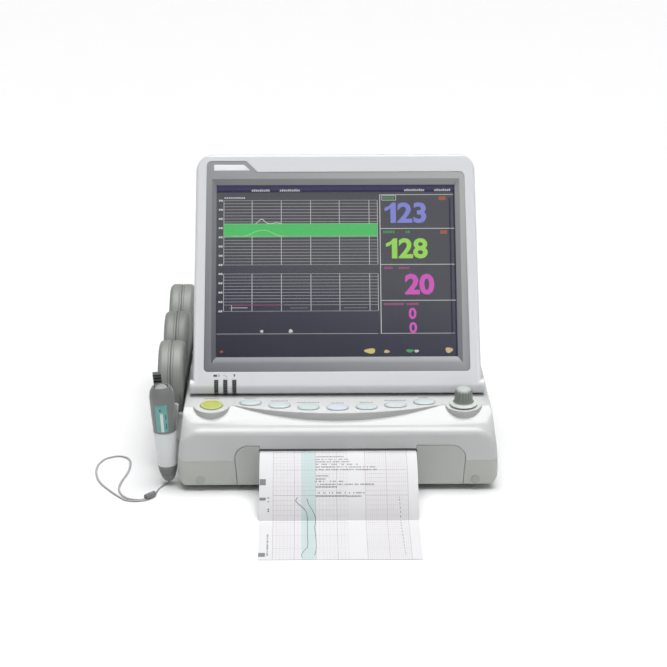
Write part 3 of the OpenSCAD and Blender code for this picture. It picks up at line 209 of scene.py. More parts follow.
def glowing(name, rgb, power, vary=0.08):
    """A lit part of the display, whose glow breaks up slightly."""
    m = finish_of(name, rgb, rough=0.35, vary=vary, dim=0.5)
    base = colour(*rgb)
    t = m.node_tree
    b = node_of(m, "BSDF_PRINCIPLED")
    cells = t.nodes.new("ShaderNodeTexNoise")
    cells.inputs["Scale"].default_value = 400.0
    ramp = t.nodes.new("ShaderNodeValToRGB")
    ramp.color_ramp.elements[0].color = shade(base, 1 - vary)
    ramp.color_ramp.elements[1].color = shade(base, 1 + vary)
    t.links.new(node_of(m, "TEX_COORD").outputs["Object"], cells.inputs["Vector"])
    t.links.new(cells.outputs[0], ramp.inputs[0])
    t.links.new(ramp.outputs[0], b.inputs["Emission Color"])
    b.inputs["Emission Strength"].default_value = power
    return m


WHITE = finish_of("white_shell", (206, 207, 207), rough=0.15, soft_edge=2.4, vary=0.004,
                  spread=0.01, bump=0.01)
HEAD_WHITE = finish_of("head_white", (224, 226, 229), rough=0.17, soft_edge=1.2,
                       vary=0.004, spread=0.01, bump=0.01)
GREY_SHELL = finish_of("grey_shell", (192, 196, 189), rough=0.45, soft_edge=0.6, vary=0.006,
                       spread=0.02)
DRAWER = finish_of("drawer_grey", (194, 198, 192), rough=0.45, soft_edge=0.6, vary=0.006,
                   spread=0.02)
DARK = finish_of("dark_plastic", (38, 39, 41), vary=0.06)
KEY = finish_of("key_plastic", (197, 206, 208), rough=0.25, vary=0.02)
KEY_GREEN = finish_of("key_plastic_green", (193, 207, 204), rough=0.25, vary=0.02)
KEY_BLUE = finish_of("key_plastic_blue", (198, 205, 216), rough=0.25, vary=0.02)
START = finish_of("start_plastic", (178, 183, 90), rough=0.3, vary=0.03)
START_RIM = finish_of("start_rim", (188, 197, 118), rough=0.35, vary=0.03)
# Painted light: the skirt and the knob's cap are paler copies of the knob's grey, a painted highlight on
# the skirt and painted light on the cap's top.
LIT_SKIRT = finish_of("knob_skirt_painted_highlight", (214, 220, 214), rough=0.36, vary=0.02)
KNOB = finish_of("knob_plastic", (144, 150, 145), rough=0.38, vary=0.03)
LIT_KNOB_CAP = finish_of("knob_cap_painted_light", (190, 196, 192), rough=0.3, vary=0.02)
DISC = finish_of("disc_plastic", (144, 147, 142), rough=0.42, vary=0.012, soft_edge=0.3)
MARKER = finish_of("marker_grey", (129, 132, 131), vary=0.012)
COLLAR = finish_of("marker_collar", (168, 171, 170), rough=0.38, vary=0.03)
THUMB = finish_of("thumb_plastic", (160, 163, 162), rough=0.38, vary=0.03)
SLEEVE = finish_of("sleeve_white", (232, 235, 235), rough=0.3, vary=0.015)
TIP = finish_of("tip_rubber", (137, 141, 139), rough=0.6, bump=0.1)
RUBBER = finish_of("rubber", (44, 44, 46), rough=0.75, bump=0.2, vary=0.08)
STEEL = finish_of("steel", (178, 180, 184), rough=0.3, metal=1.0, patch=60.0, warp=(1, 14, 1))
BRASS = finish_of("brass", (196, 164, 88), rough=0.3, metal=1.0)
BOARD = finish_of("board", (28, 92, 58), vary=0.12, patch=90.0)
PAPER = finish_of("paper", (221, 221, 223), rough=0.85, vary=0.012, grain=2600.0, bump=0.06)
STRAP = finish_of("strap", (172, 172, 173), rough=0.8, vary=0.06, grain=2400.0, bump=0.5,
                  patch=500.0)
BATTERY = finish_of("battery", (60, 72, 110), rough=0.45, vary=0.06)
TEAL = finish_of("label_teal", (112, 178, 172))
LABEL_WHITE = finish_of("label_white", (226, 233, 232), vary=0.02)
PLUG = finish_of("plug_grey", (178, 182, 176), rough=0.45, vary=0.02)
# Painted shade: the dark grey of the strip that stands for the shadow in the paper slot.
EDGE = finish_of("slot_painted_shade_grey", (92, 92, 92), rough=0.6, vary=0.03)
MARK = finish_of("print_dark", (84, 86, 92), rough=0.6, vary=0.06)
LENS = finish_of("lens_white", (246, 249, 250), rough=0.12, vary=0.01)
LED = finish_of("lens_dark", (34, 36, 38), rough=0.18)
RIB = finish_of("lens_rib", (70, 77, 77), rough=0.3)


def window_glass():
    """The smoky window, which lets the display through."""
    m = finish_of("screen_glass", (44, 44, 50), rough=0.09, vary=0.02, spread=0.02)
    b = node_of(m, "BSDF_PRINCIPLED")
    b.inputs["Alpha"].default_value = 0.12
    b.inputs["IOR"].default_value = 1.45
    return m


GLASS = window_glass()


def fade_along(material, direction, near, far, first, last):
    """A colour ramp over the object's own space, from first at near to last at far, in metres."""
    t = material.node_tree
    lean = t.nodes.new("ShaderNodeVectorMath")
    lean.operation = "DOT_PRODUCT"
    lean.inputs[1].default_value = direction
    t.links.new(node_of(material, "TEX_COORD").outputs["Object"], lean.inputs[0])
    span = t.nodes.new("ShaderNodeMapRange")
    span.inputs["From Min"].default_value = near
    span.inputs["From Max"].default_value = far
    t.links.new(lean.outputs["Value"], span.inputs["Value"])
    ramp = t.nodes.new("ShaderNodeValToRGB")
    ramp.color_ramp.elements[0].color = first
    ramp.color_ramp.elements[1].color = last
    t.links.new(span.outputs[0], ramp.inputs[0])
    return ramp


def lcd_finish():
    """The dark panel: greyer towards the top, bluer and darker towards its lower left corner."""
    m = finish_of("lcd_panel", (30, 30, 38), vary=0.06)
    b = node_of(m, "BSDF_PRINCIPLED")
    ramp = fade_along(m, (0.222, 0.0, 1.0), 0.084, 0.184, colour(22, 18, 42), colour(82, 83, 88))
    middle = ramp.color_ramp.elements.new(0.5)
    middle.color = colour(52, 54, 70)
    m.node_tree.links.new(ramp.outputs[0], b.inputs["Emission Color"])
    b.inputs["Emission Strength"].default_value = 0.85
    return m


LCD = lcd_finish()


def surround_grey_and_painted_light():
    """Satin grey with painted light: lighter towards its upper right and darker towards its lower left,
    where less light falls.
    """
    m = finish_of("surround_grey", (176, 177, 179), rough=0.42, soft_edge=0.5, vary=0.008)
    t = m.node_tree
    clouds = node_of(m, "VALTORGB")
    # Painted light: this ramp darkens the lower left and lightens the upper right.
    ramp = fade_along(m, (0.55, 0.0, 1.0), 0.02, 0.34, colour(150, 153, 163), colour(255, 254, 252))
    both = t.nodes.new("ShaderNodeMix")
    both.data_type = "RGBA"
    both.blend_type = "MULTIPLY"
    both.inputs["Factor"].default_value = 1.0
    t.links.new(clouds.outputs[0], both.inputs["A"])
    t.links.new(ramp.outputs[0], both.inputs["B"])
    t.links.new(both.outputs["Result"], node_of(m, "BSDF_PRINCIPLED").inputs["Base Color"])
    return m


SURROUND = surround_grey_and_painted_light()


def slot_name(material):
    """A material's name without the number that a second one of that name gets."""
    return material.name.split(".")[0]


BY_SLOT = {slot_name(m): m for m in (WHITE, GREY_SHELL, SURROUND, GLASS, DARK, KEY, START, KNOB, DISC,
                                     MARKER, TIP, RUBBER, STEEL, BOARD, PAPER, BRASS, STRAP, BATTERY)}
BY_NODE = {"head_front_frame": HEAD_WHITE, "head_rear_shell": HEAD_WHITE, "lcd_panel": LCD,
           "marker_sleeve": SLEEVE, "transducer_cradle": WHITE, "drawer_front": DRAWER}


def smooth_by_angle(limit):
    """A node group that shades smooth, but for edges sharper than limit degrees."""
    g = bpy.data.node_groups.new(f"smooth_under_{limit}", "GeometryNodeTree")
    g.interface.new_socket("Geometry", in_out="INPUT", socket_type="NodeSocketGeometry")
    g.interface.new_socket("Geometry", in_out="OUTPUT", socket_type="NodeSocketGeometry")
    came = g.nodes.new("NodeGroupInput")
    goes = g.nodes.new("NodeGroupOutput")
    every = g.nodes.new("GeometryNodeSetShadeSmooth")
    every.domain = "FACE"
    angle = g.nodes.new("GeometryNodeInputMeshEdgeAngle")
    over = g.nodes.new("FunctionNodeCompare")
    over.data_type = "FLOAT"
    over.operation = "GREATER_THAN"
    over.inputs[1].default_value = math.radians(limit)
    sharp = g.nodes.new("GeometryNodeSetShadeSmooth")
    sharp.domain = "EDGE"
    sharp.inputs["Shade Smooth"].default_value = False
    g.links.new(came.outputs[0], every.inputs[0])
    g.links.new(every.outputs[0], sharp.inputs[0])
    g.links.new(angle.outputs[0], over.inputs[0])
    g.links.new(over.outputs[0], sharp.inputs["Selection"])
    g.links.new(sharp.outputs[0], goes.inputs[0])
    return g


SMOOTH = smooth_by_angle(32)


def shade_smooth(o):
    """Adds the smooth shading as a modifier."""
    soft = o.modifiers.new("smooth", "NODES")
    soft.node_group = SMOOTH


def dress(o):
    """Rejoins the tessellated faces of a CAD node and shades it smooth."""
    custom = o.data.attributes.get("custom_normal")
    if custom:
        o.data.attributes.remove(custom)
    weld = o.modifiers.new("weld", "WELD")
    weld.merge_threshold = 0.002 * MM
    shade_smooth(o)


for name, node in nodes.items():
    first = node.material_slots[0]
    first.material = BY_NODE.get(name, BY_SLOT[slot_name(first.material)])
    dress(node)


# Shapes

def piece(name, points, faces, material, body, smooth=True, replaces=()):
    """A new piece that rides on a body and may stand for CAD nodes."""
    mesh = bpy.data.meshes.new(name)
    mesh.from_pydata([tuple(c * MM for c in p) for p in points], [], faces)
    mesh.validate()
    o = add_object(name, mesh)
    for m in material if isinstance(material, list) else [material]:
        mesh.materials.append(m)
    if smooth:
        for f in mesh.polygons:
            f.use_smooth = True
        shade_smooth(o)
    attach(o, body)
    if replaces:
        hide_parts(*replaces)
    return o


def span_faces(n, k):
    """Faces between the ring of n points that starts at point k and the next ring."""
    return [(k + i, k + (i + 1) % n, k + n + (i + 1) % n, k + n + i) for i in range(n)]


def tube_faces(rings, n, k=0):
    """Faces of a closed tube or prism whose rings of n points start at point k."""
    last = k + (rings - 1) * n
    faces = [f for r in range(rings - 1) for f in span_faces(n, k + r * n)]
    return faces + [tuple(k + i for i in reversed(range(n))), tuple(last + i for i in range(n))]


def lathe(name, outline, place, material, body, segments, replaces=(), fit=None, pick=None,
          bend=None):
    """Turns an outline of (radius, height) about z.

    fit changes the radius, bend moves a point and pick names the material between two rings."""
    points, faces = [], []
    n = len(outline)
    for k in range(segments):
        a = math.tau * k / segments
        for r, z in outline:
            if fit:
                r = fit(r, z, a)
            p = Vector((r * math.cos(a), r * math.sin(a), z))
            points.append(place @ (bend(p) if bend else p))
    for k in range(segments):
        l = (k + 1) % segments
        for i in range(n - 1):
            faces.append((k * n + i, l * n + i, l * n + i + 1, k * n + i + 1))
    if outline[0][0] > 0:
        faces.append(tuple(k * n for k in reversed(range(segments))))
    if outline[-1][0] > 0:
        faces.append(tuple(k * n + n - 1 for k in range(segments)))
    o = piece(name, points, faces, material, body, replaces=replaces)
    if pick:
        for f in o.data.polygons:
            f.material_index = pick(f.index % (n - 1))
    return o


def base_row(x, y, z):
    """A point whose y counts back from the base's front face."""
    return Vector((x, y + FRONT, z))


def console_matrix(x, y):
    """Level with the console's surface at that point, z out of it."""
    turn = Matrix.Rotation(CONSOLE_FALL, 4, "X")
    at = Matrix.Translation(base_row(0, DECK_Y, DECK_H)) @ turn
    return at @ Matrix.Translation(Vector((x, y - DECK_Y, 0)))


HEAD = (Matrix.Translation(base_row(0, CHIN_Y, DECK_H))
        @ Matrix.Rotation(math.pi / 2 - LEAN, 4, "X"))
MARKER_PLACE = (Matrix.Translation(base_row(MARKER_X, MARKER_Y, MARKER_Z))
                @ Matrix.Rotation(-MARKER_LEAN, 4, "Y"))


def arc(cx, cy, r, start, end, n):
    """Points on an arc, angles in degrees."""
    steps = [math.radians(start + (end - start) * i / n) for i in range(n + 1)]
    return [(cx + r * math.cos(a), cy + r * math.sin(a)) for a in steps]


# The strap: a string from the marker's tip to the lock, and a flat loop on the table

STRAP_ROUTE = [(-183.2, -188.4), (-187, -190.1), (-192, -191.2), (-198.2, -190.8), (-204, -187.6),
               (-210, -180), (-216, -171), (-222, -160.8), (-227, -151.5), (-231, -142),
               (-234, -131), (-235.8, -120), (-236.2, -109), (-234.6, -94), (-229.4, -82),
               (-221.4, -76), (-214.8, -75), (-209, -78.5), (-205, -86.5), (-203.8, -97),
               (-204.2, -110.4), (-206.2, -124.8), (-209.3, -139.1), (-211.1, -153.2),
               (-210.8, -164.4), (-208.2, -174), (-203.8, -181.6), (-198.4, -186.2),
               (-192.6, -187.9), (-188.4, -187.9), (-185.2, -186.7)]
STRAP_W = 2.2
STRAP_T = 1.4
STRING_D = 1.2
STEPS_A_SPAN = 4
STRING_ROUTE = [(-163.4, -145, 3.1), (-163.5, -145.1, 2.3), (-164.2, -146, 1.2), (-165.8, -148, 0.6),
                (-168, -150.8, 0.6), (-171.6, -157.8, 0.6), (-173.6, -165, 0.9), (-174.6, -171, 1.6),
                (-175.2, -174.8, 2.4), (-175.9, -177.3, 2.8)]
LOCK_AT = (-175.9, -177.4)
LOCK_D = 5.6
LOCK_L = 12.6
LOCK_TURN = 230


def curve_through(points, k):
    """Catmull-Rom points through a route, k for each of its spans."""
    p = [Vector(q) for q in points]
    made = []
    for i in range(len(p) - 1):
        a, b, c, d = p[max(i - 1, 0)], p[i], p[i + 1], p[min(i + 2, len(p) - 1)]
        for j in range(k):
            t = j / k
            made.append(0.5 * (2 * b + (c - a) * t + (2 * a - 5 * b + 4 * c - d) * t * t
                               + (3 * b - a - 3 * c + d) * t ** 3))
    made.append(p[-1])
    return made


def heading(path, i):
    """The way that a path runs at its point i."""
    return (path[min(i + 1, len(path) - 1)] - path[max(i - 1, 0)]).normalized()


def swept(name, path, w, t, sides, material, body, replaces=()):
    """A tube of oval section along a path."""
    points = []
    for i, p in enumerate(path):
        ahead = heading(path, i)
        side = Vector((0, 0, 1)).cross(ahead).normalized()
        up = ahead.cross(side)
        for k in range(sides):
            a = math.tau * (k + 0.5) / sides
            points.append(p + side * (w / 2 * math.cos(a)) + up * (t / 2 * math.sin(a)))
    return piece(name, points, tube_faces(len(path), sides), material, body, replaces=replaces)


def make_strap():
    """The lock, the string from the marker to it, and the loop."""
    turn = math.radians(LOCK_TURN - 90)
    place = (Matrix.Translation(Vector((*LOCK_AT, LOCK_D / 2)))
             @ Matrix.Rotation(turn, 4, "Z") @ Matrix.Rotation(-math.pi / 2, 4, "X"))
    r = LOCK_D / 2
    half = [(1.0, 0), (r - 0.5, 0), (r - 0.1, 0.4), (r - 0.1, 1.6), (r - 0.45, 2.0), (r - 0.45, 2.5),
            (r, 2.9)]
    outline = half + [(radius, LOCK_L - z) for radius, z in reversed(half)]
    lock = lathe("strap_lock_barrel", outline, place, MARKER, "marker", segments=32,
                 replaces=("strap_lock",))
    string_path = curve_through(STRING_ROUTE, STEPS_A_SPAN)
    string = swept("strap_string_cord", string_path, STRING_D, STRING_D, 10, STRAP, "marker",
                   replaces=("strap_string",))
    loop_path = curve_through([(x, y, STRAP_T / 2) for x, y in STRAP_ROUTE], STEPS_A_SPAN)
    loop = swept("strap_loop_band", loop_path, STRAP_W, STRAP_T, 12, STRAP, "marker",
                 replaces=("strap_loop",))


make_strap()


# Keys, start button and knob

KEY_TINTS = (KEY, KEY, KEY_GREEN, KEY_BLUE, KEY, KEY, KEY)
KEY_L = 20.6
KEY_W = 13.2
KEY_PITCH = 28.1
KEY_ROW_Y = 32.6
KEY_ROW_BEND = 580.0
OVAL_POWER = 0.86
START_D = 21.5


def key_at(i):
    """Where a key stands: x from the middle one, y on the row's arc."""
    x = (i - len(KEY_TINTS) // 2) * KEY_PITCH
    return x, KEY_ROW_Y + x * x / KEY_ROW_BEND


def oval_ring(l, w, scale, n):
    """Points round an oval with straight sides, shrunk by scale."""
    def blunt(c):
        """Swells a cosine or sine towards 1."""
        return math.copysign(abs(c) ** OVAL_POWER, c)

    turns = [math.tau * k / n for k in range(n)]
    return [(l / 2 * scale * blunt(math.cos(a)), w / 2 * scale * blunt(math.sin(a))) for a in turns]


def make_key(i, material):
    """A domed oval cap, from rings of (scale, height)."""
    place = console_matrix(*key_at(i))
    rings = [(1.0, -3.0), (1.0, 0.1), (0.985, 0.42), (0.95, 0.72), (0.88, 1.02), (0.76, 1.28),
             (0.58, 1.5), (0.36, 1.64), (0.14, 1.7)]
    n = 48
    points = [place @ Vector((x, y, z)) for s, z in rings for x, y in oval_ring(KEY_L, KEY_W, s, n)]
    piece(f"key_cap_{i + 1}", points, tube_faces(len(rings), n), material, f"key_{i + 1}",
          replaces=(f"key_{i + 1}",))


for key_index, tint in enumerate(KEY_TINTS):
    make_key(key_index, tint)


def make_start_button():
    """A flat dome inside a paler rim."""
    r = START_D / 2
    outline = [(r, -3.0), (r, 0.5), (r - 0.25, 1.0), (r - 0.8, 1.35), (r - 1.5, 1.4), (r - 2.0, 1.1),
               (r - 2.5, 1.15), (r - 4.0, 1.55), (r - 6.5, 1.85), (2.0, 2.0), (0.001, 2.0)]
    lathe("start_button_cap", outline, console_matrix(-POD_X, POD_Y), [START, START_RIM],
          "start_button", segments=80, replaces=("start_button",),
          pick=lambda i: 1 if i < 6 else 0)


make_start_button()


def make_knob():
    """A skirt, a fluted grip and a cap in one outline, with the skirt and the cap painted paler than the
    grip as painted light.
    """
    flutes = 18
    low = 0.9
    top = 17.5
    skirt = 27.3 / 2
    grip = 17.0 / 2
    outline = [(0.001, low), (skirt - 0.4, low), (skirt, low + 0.4), (skirt, low + 1.0),
               (skirt - 0.5, low + 1.5), (skirt - 2.2, low + 1.9), (grip + 1.6, low + 2.5),
               (grip + 0.9, low + 3.2), (grip + 0.4, low + 4.4), (grip + 0.2, 8), (grip, 11),
               (grip - 0.1, 13.6), (grip - 0.3, 14.6), (grip - 0.9, 15.2), (grip - 1.5, 15.5),
               (grip - 1.6, 15.9), (grip - 2.0, 16.5), (grip - 3.0, 17.0), (grip - 5.0, top - 0.1),
               (0.001, top)]

    def flute(r, z, a):
        """Cuts the flutes into the grip's side, fading out at both ends."""
        if r > grip + 0.85 or r < grip - 0.5 or z < 4:
            return r
        wave = max(0.0, math.cos(flutes * a)) ** 0.6
        fade = min(1.0, (z - 4.2) / 1.5) * min(1.0, (15.4 - z) / 0.8)
        return r - 0.95 * wave * max(0.0, fade)

    # Painted light: spans under 6 (the skirt) and from 14 (the cap) take the paler greys, and the grip
    # keeps the knob's grey.
    lathe("knob_body", outline, console_matrix(POD_X, POD_Y), [KNOB, LIT_KNOB_CAP, LIT_SKIRT], "knob",
          segments=12 * flutes, replaces=("control_knob",), fit=flute,
          pick=lambda i: 1 if i >= 14 else (2 if i < 6 else 0))


make_knob()


# Transducers

def make_transducers():
    """Three discs on edge in the rack, each of two half shells with a grooved rim."""
    r = DISC_D / 2
    h = DISC_T / 2
    shell = ([(0.001, 0.15), (r - 0.8, 0.15), (r - 0.8, 0.5), (r - 0.15, 0.6), (r, 0.8), (r, 1.9),
              (r - 0.5, 2.2), (r - 0.5, 2.5), (r, 2.8)]
             + arc(r - 5, h - 5, 5, 0, 90, 8)
             + [(r - 9, h), (r - 9.6, h - 0.5), (r - 10.4, h - 0.5), (r - 11, h), (0.001, h)])
    side_in = (DECK_H - SPLIT_H) * math.tan(SIDE_DRAFT)
    middle = side_in - DISC_GAP - DISC_T / 2
    rack = Matrix.Translation(base_row(RACK_X, 0, 0)) @ Matrix.Rotation(RACK_TURN, 4, "Z")
    for i in range(DISC_COUNT):
        disc = rack @ Matrix.Translation(Vector((middle, DISC_Y + i * DISC_PITCH, DISC_Z)))
        for side, part in ((-1, "cap"), (1, "body")):
            place = disc @ Matrix.Rotation(math.pi / 2 * side, 4, "Y")
            lathe(f"probe_{i + 1}_{part}", shell, place, DISC, f"transducer_{i + 1}",
                  segments=128, replaces=(f"transducer_{i + 1}_{part}",))


make_transducers()


# Marker

TILT = math.radians(13)
TILT_FROM = 80.0
TILT_TO = 92.0


def tilt(p):
    """Leans the head's collar and thumb cap forward, smoothly from TILT_FROM to TILT_TO."""
    rise = min(1.0, max(0.0, (p.z - TILT_FROM) / (TILT_TO - TILT_FROM)))
    rise = rise * rise * (3 - 2 * rise)
    return Vector((p.x, p.y, p.z + p.y * math.tan(TILT) * rise))


def make_marker():
    """Head with its collar and pit, thumb cap, sleeve and ribbed tip; the pit and the thumb cap's side wall
    are painted dark as painted shade.
    """
    body = [(0.001, 52.0), (10.9, 52.0), (11.0, 52.4), (11.4, 62), (11.8, 74), (12.0, 82), (11.9, 87),
            (11.6, 90.5), (11.3, 92.4), (11.1, 92.8), (10.6, 93.1), (9.0, 93.6), (7.4, 94.1),
            (7.1, 94.1), (6.9, 93.8), (6.8, 90.6), (0.001, 90.5)]
    # Painted shade: the pit under the thumb cap (spans from 13) takes the dark plastic.
    lathe("marker_head", body, MARKER_PLACE, [MARKER, COLLAR, DARK], "marker",
          segments=96, pick=lambda i: 0 if i < 9 else (1 if i < 13 else 2), bend=tilt)
    thumb = [(0.001, 92.0), (5.5, 92.0), (5.7, 94.9), (6.0, 95.1), (5.9, 95.7), (5.2, 96.1),
             (3.2, 96.4), (0.001, 96.5)]
    # Painted shade: the thumb cap's side wall (its first two spans) takes the dark plastic.
    lathe("thumb_cap", thumb, MARKER_PLACE @ Matrix.Translation(Vector((0, 0.6, 0))), [THUMB, DARK],
          "marker_button", segments=64, replaces=("marker_button",),
          pick=lambda i: 1 if i < 2 else 0, bend=tilt)
    sleeve = [(0.001, 17.0), (9.2, 17.0), (9.3, 17.4), (10.2, 34), (10.85, 50.6), (10.7, 51.4),
              (10.4, 51.9), (0.001, 51.9)]
    lathe("marker_sleeve_shell", sleeve, MARKER_PLACE, SLEEVE, "marker", segments=96,
          replaces=("marker_sleeve",))
    tip = [(0.001, 0.0), (1.6, 0.05), (3.2, 0.5), (4.9, 1.8), (6.1, 3.6), (6.9, 5.6), (7.35, 7.2),
           (7.0, 7.6), (7.0, 8.2), (7.8, 8.6), (8.25, 10.0), (7.9, 10.4), (7.9, 11.0), (8.6, 11.4),
           (8.8, 12.8), (8.4, 13.2), (8.4, 13.8), (9.05, 14.2), (9.2, 15.6), (9.2, 16.9),
           (0.001, 16.9)]
    lathe("marker_tip_rubber", tip, MARKER_PLACE, TIP, "marker", segments=80,
          replaces=("marker_tip",))


make_marker()


def on_barrel(z, turn, lift):
    """A point on the marker's head, turn in degrees from the front towards the right."""
    radii = [(52.0, 10.95), (62.0, 11.4), (74.0, 11.8), (84.0, 12.0)]
    r = radii[-1][1]
    for (za, ra), (zb, rb) in zip(radii, radii[1:]):
        if za <= z <= zb:
            r = ra + (rb - ra) * (z - za) / (zb - za)
    a = math.radians(turn - 90)
    return MARKER_PLACE @ Vector(((r + lift) * math.cos(a), (r + lift) * math.sin(a), z))


def thicken(o, t):
    """Gives a sheet a thickness of t, out of its front."""
    thick = o.modifiers.new("thick", "SOLIDIFY")
    thick.thickness = t * MM
    thick.offset = 1.0


def barrel_patch(name, z0, z1, t0, t1, lift, material):
    """A thin label on the marker's head, from height z0 to z1 and from turn t0 to t1."""
    n = 12
    points = [on_barrel(z0 + (z1 - z0) * i / n, t0 + (t1 - t0) * j / n, lift)
              for i in range(n + 1) for j in range(n + 1)]
    corners = [i * (n + 1) + j for i in range(n) for j in range(n)]
    faces = [(k, k + 1, k + n + 2, k + n + 1) for k in corners]
    thicken(piece(name, points, faces, material, "marker"), 0.06)


LABEL_LIFT = 0.03
PRINT_LIFT = 0.13
barrel_patch("marker_label", 53.8, 81.5, -36, 24, LABEL_LIFT, TEAL)
barrel_patch("marker_label_stripe", 54.2, 73.5, -12, 2, PRINT_LIFT, LABEL_WHITE)
barrel_patch("marker_label_dot", 75.6, 77.4, -14, -6, PRINT_LIFT, MARK)
barrel_patch("marker_label_bar_1", 66.6, 71.5, 12, 16, PRINT_LIFT, MARK)
barrel_patch("marker_label_bar_2", 57.0, 63.0, 12, 16, PRINT_LIFT, MARK)


def rod(name, a, b, r):
    """A round bar on the marker's clip, from a to b, with softened ends."""
    a, b = Vector(a), Vector(b)
    along = (b - a).normalized()
    turn = along.to_track_quat("Z", "Y").to_matrix().to_4x4()
    l = (b - a).length
    outline = [(0.001, 0), (r * 0.7, 0), (r, r * 0.3), (r, l - r * 0.3), (r * 0.7, l), (0.001, l)]
    lathe(name, outline, MARKER_PLACE @ Matrix.Translation(a) @ turn, DARK, "marker_clip",
          segments=20)


def make_clip_ribs():
    """Cross ribs on the clip's pad, which leans forward above the first two."""
    pitch = 3.4
    lean = 0.9
    for i in range(5):
        z = 90.0 + pitch * i
        y = 16.2 - lean * max(0, i - 1)
        rod(f"clip_rib_{i + 1}", (-8.0, y, z), (0.0, y, z), 1.1)


make_clip_ribs()


PLUG_X = 132.2
PLUG_Z = 10.7


def make_plugs():
    """The rims of the two plugs low on the front."""
    outline = [(4.35, 0.0), (4.35, 0.6), (4.1, 0.86), (3.7, 0.88), (3.5, 0.64), (3.3, 0.64), (3.1, 0.7),
               (0.001, 0.74)]
    for i, x in enumerate((-PLUG_X, PLUG_X)):
        place = Matrix.Translation(base_row(x, 0, PLUG_Z)) @ Matrix.Rotation(math.pi / 2, 4, "X")
        lathe(f"front_plug_{i + 1}", outline, place, PLUG, "base", segments=48)


make_plugs()


def make_slot_painted_shade():
    """A dark strip over the paper where it leaves the printer: painted shade for the shadow in the slot
    above the paper.
    """
    outline = [(0.7, 41.72), (-0.1, 41.72), (-0.14, 41.9), (-0.14, 42.8), (0.02, 43.1), (0.7, 43.1)]
    points = [base_row(x, y, z) for x in (-PAPER_W / 2, PAPER_W / 2) for y, z in outline]
    piece("slot_edge", points, tube_faces(2, len(outline)), EDGE, "base", smooth=False)


make_slot_painted_shade()


# Display: thin lit shapes between the panel and its window

# The picture sits this far off the panel's middle
SCREEN = HEAD @ Matrix.Translation(Vector((2.4, 1.3, 0)))
# Depths of the picture's three layers, and the thickness of print and lit shapes
W1, W2, W3 = -6.29, -6.26, -6.23
PLATE_T = 0.02


def flat(name, boxes, material, w, body="display_head", place=SCREEN):
    """Thin plates, each from (x0, v0) to (x1, v1)."""
    points, faces = [], []
    for x0, v0, x1, v1 in boxes:
        faces += tube_faces(2, 4, len(points))
        for z in (w, w + PLATE_T):
            points += [place @ Vector(c) for c in ((x0, v0, z), (x1, v0, z), (x1, v1, z), (x0, v1, z))]
    piece(name, points, faces, material, body, smooth=False)


GRID = glowing("lit_grid", (168, 168, 172), 0.8)
RULE = glowing("lit_rule", (196, 196, 196), 0.85)
GREEN_BAND = glowing("lit_green", (74, 180, 98), 0.95, vary=0.04)
GREEN_SOFT = glowing("lit_green_soft", (140, 215, 140), 0.95)
VIOLET = glowing("lit_violet", (122, 126, 200), 0.95)
LIME = glowing("lit_lime", (146, 204, 84), 0.95)
MAGENTA = glowing("lit_magenta", (196, 84, 178), 0.95)
ROSE = glowing("lit_rose", (150, 84, 124), 0.7)
NAVY = glowing("lit_navy", (54, 51, 88), 0.9)
DEEP = glowing("lit_deep", (30, 24, 64), 0.9)
ORANGE = glowing("lit_orange", (172, 98, 66), 0.6)
YELLOW = glowing("lit_yellow", (206, 192, 116), 0.85)
TAN = glowing("lit_tan", (206, 180, 140), 0.8)
LEAF = glowing("lit_leaf", (70, 160, 96), 0.8)
DOT = glowing("lit_dot", (205, 205, 200), 0.8)

UPPER_GRID = (137.4, 204.5)
LOWER_GRID = (89.6, 128.1)


def levels(low, high, n):
    """Heights that part the way from low to high into n."""
    return [low + (high - low) * i / n for i in range(n + 1)]


def make_grids():
    """Two grids, the range band across the upper one, and the marks on their scales."""
    left, right = -113.6, 38.9
    boxes = [(left, v - 0.2, right, v + 0.2) for v in levels(*UPPER_GRID, 21)]
    for i, v in enumerate(levels(*LOWER_GRID, 12)):
        if i == 1:
            boxes += [(a, v - 0.15, b, v + 0.15) for a, b in ((-108, -90), (-48, -30), (5, 28))]
        else:
            boxes.append((left, v - 0.2, right, v + 0.2))
    flat("grid_levels", boxes, GRID, W1)
    boxes = []
    for low, high in (UPPER_GRID, LOWER_GRID):
        boxes += [(x - 0.3, low, x + 0.3, high) for x in (-85.6, -56.6, -27.5, 1.0, 30.6)]
        boxes += [(x - 0.25, low, x + 0.25, high) for x in (left, right)]
    flat("grid_times", boxes, RULE, W1)
    flat("range_band", [(left, 167.2, right, 179.8)], GREEN_BAND, W2)
    flat("range_band_edges", [(left, 166.8, right, 167.2), (left, 179.8, right, 180.2)], GREEN_SOFT, W2)
    flat("level_bar", [(-106, 95.6, -54, 96.4)], ROSE, W2)
    flat("level_step", [(-106, 90, -105.4, 96), (-106, 93.1, -90, 93.5)], RULE, W2)
    flat("scale_marks", [(a, v - 0.9, b, v + 0.9) for v in levels(*UPPER_GRID, 7) + levels(*LOWER_GRID, 4)
                         for a, b in ((-118.6, -117.0), (-116.6, -114.8))], DOT, W2)


make_grids()


def line_rings(path, width, low, at):
    """Four points of a thin flat line at each point of its path, from low up, placed by at."""
    points = []
    top = low + PLATE_T
    for i, p in enumerate(path):
        ahead = heading(path, i)
        side = Vector((-ahead.y, ahead.x, 0)) * width / 2
        for q, z in ((p - side, low), (p + side, low), (p + side, top), (p - side, top)):
            points.append(at(q.x, q.y, z))
    return points


def on_screen(x, v, w):
    """A point of the picture."""
    return SCREEN @ Vector((x, v, w))


def lit(name, points, faces, material):
    """A lit shape behind the window."""
    return piece(name, points, faces, material, "display_head", smooth=False)


def trace(name, points, width, material, w):
    """A thin lit line through (x, v) points."""
    path = curve_through([(x, v, 0) for x, v in points], 6)
    lit(name, line_rings(path, width, w, on_screen), tube_faces(len(path), 4), material)


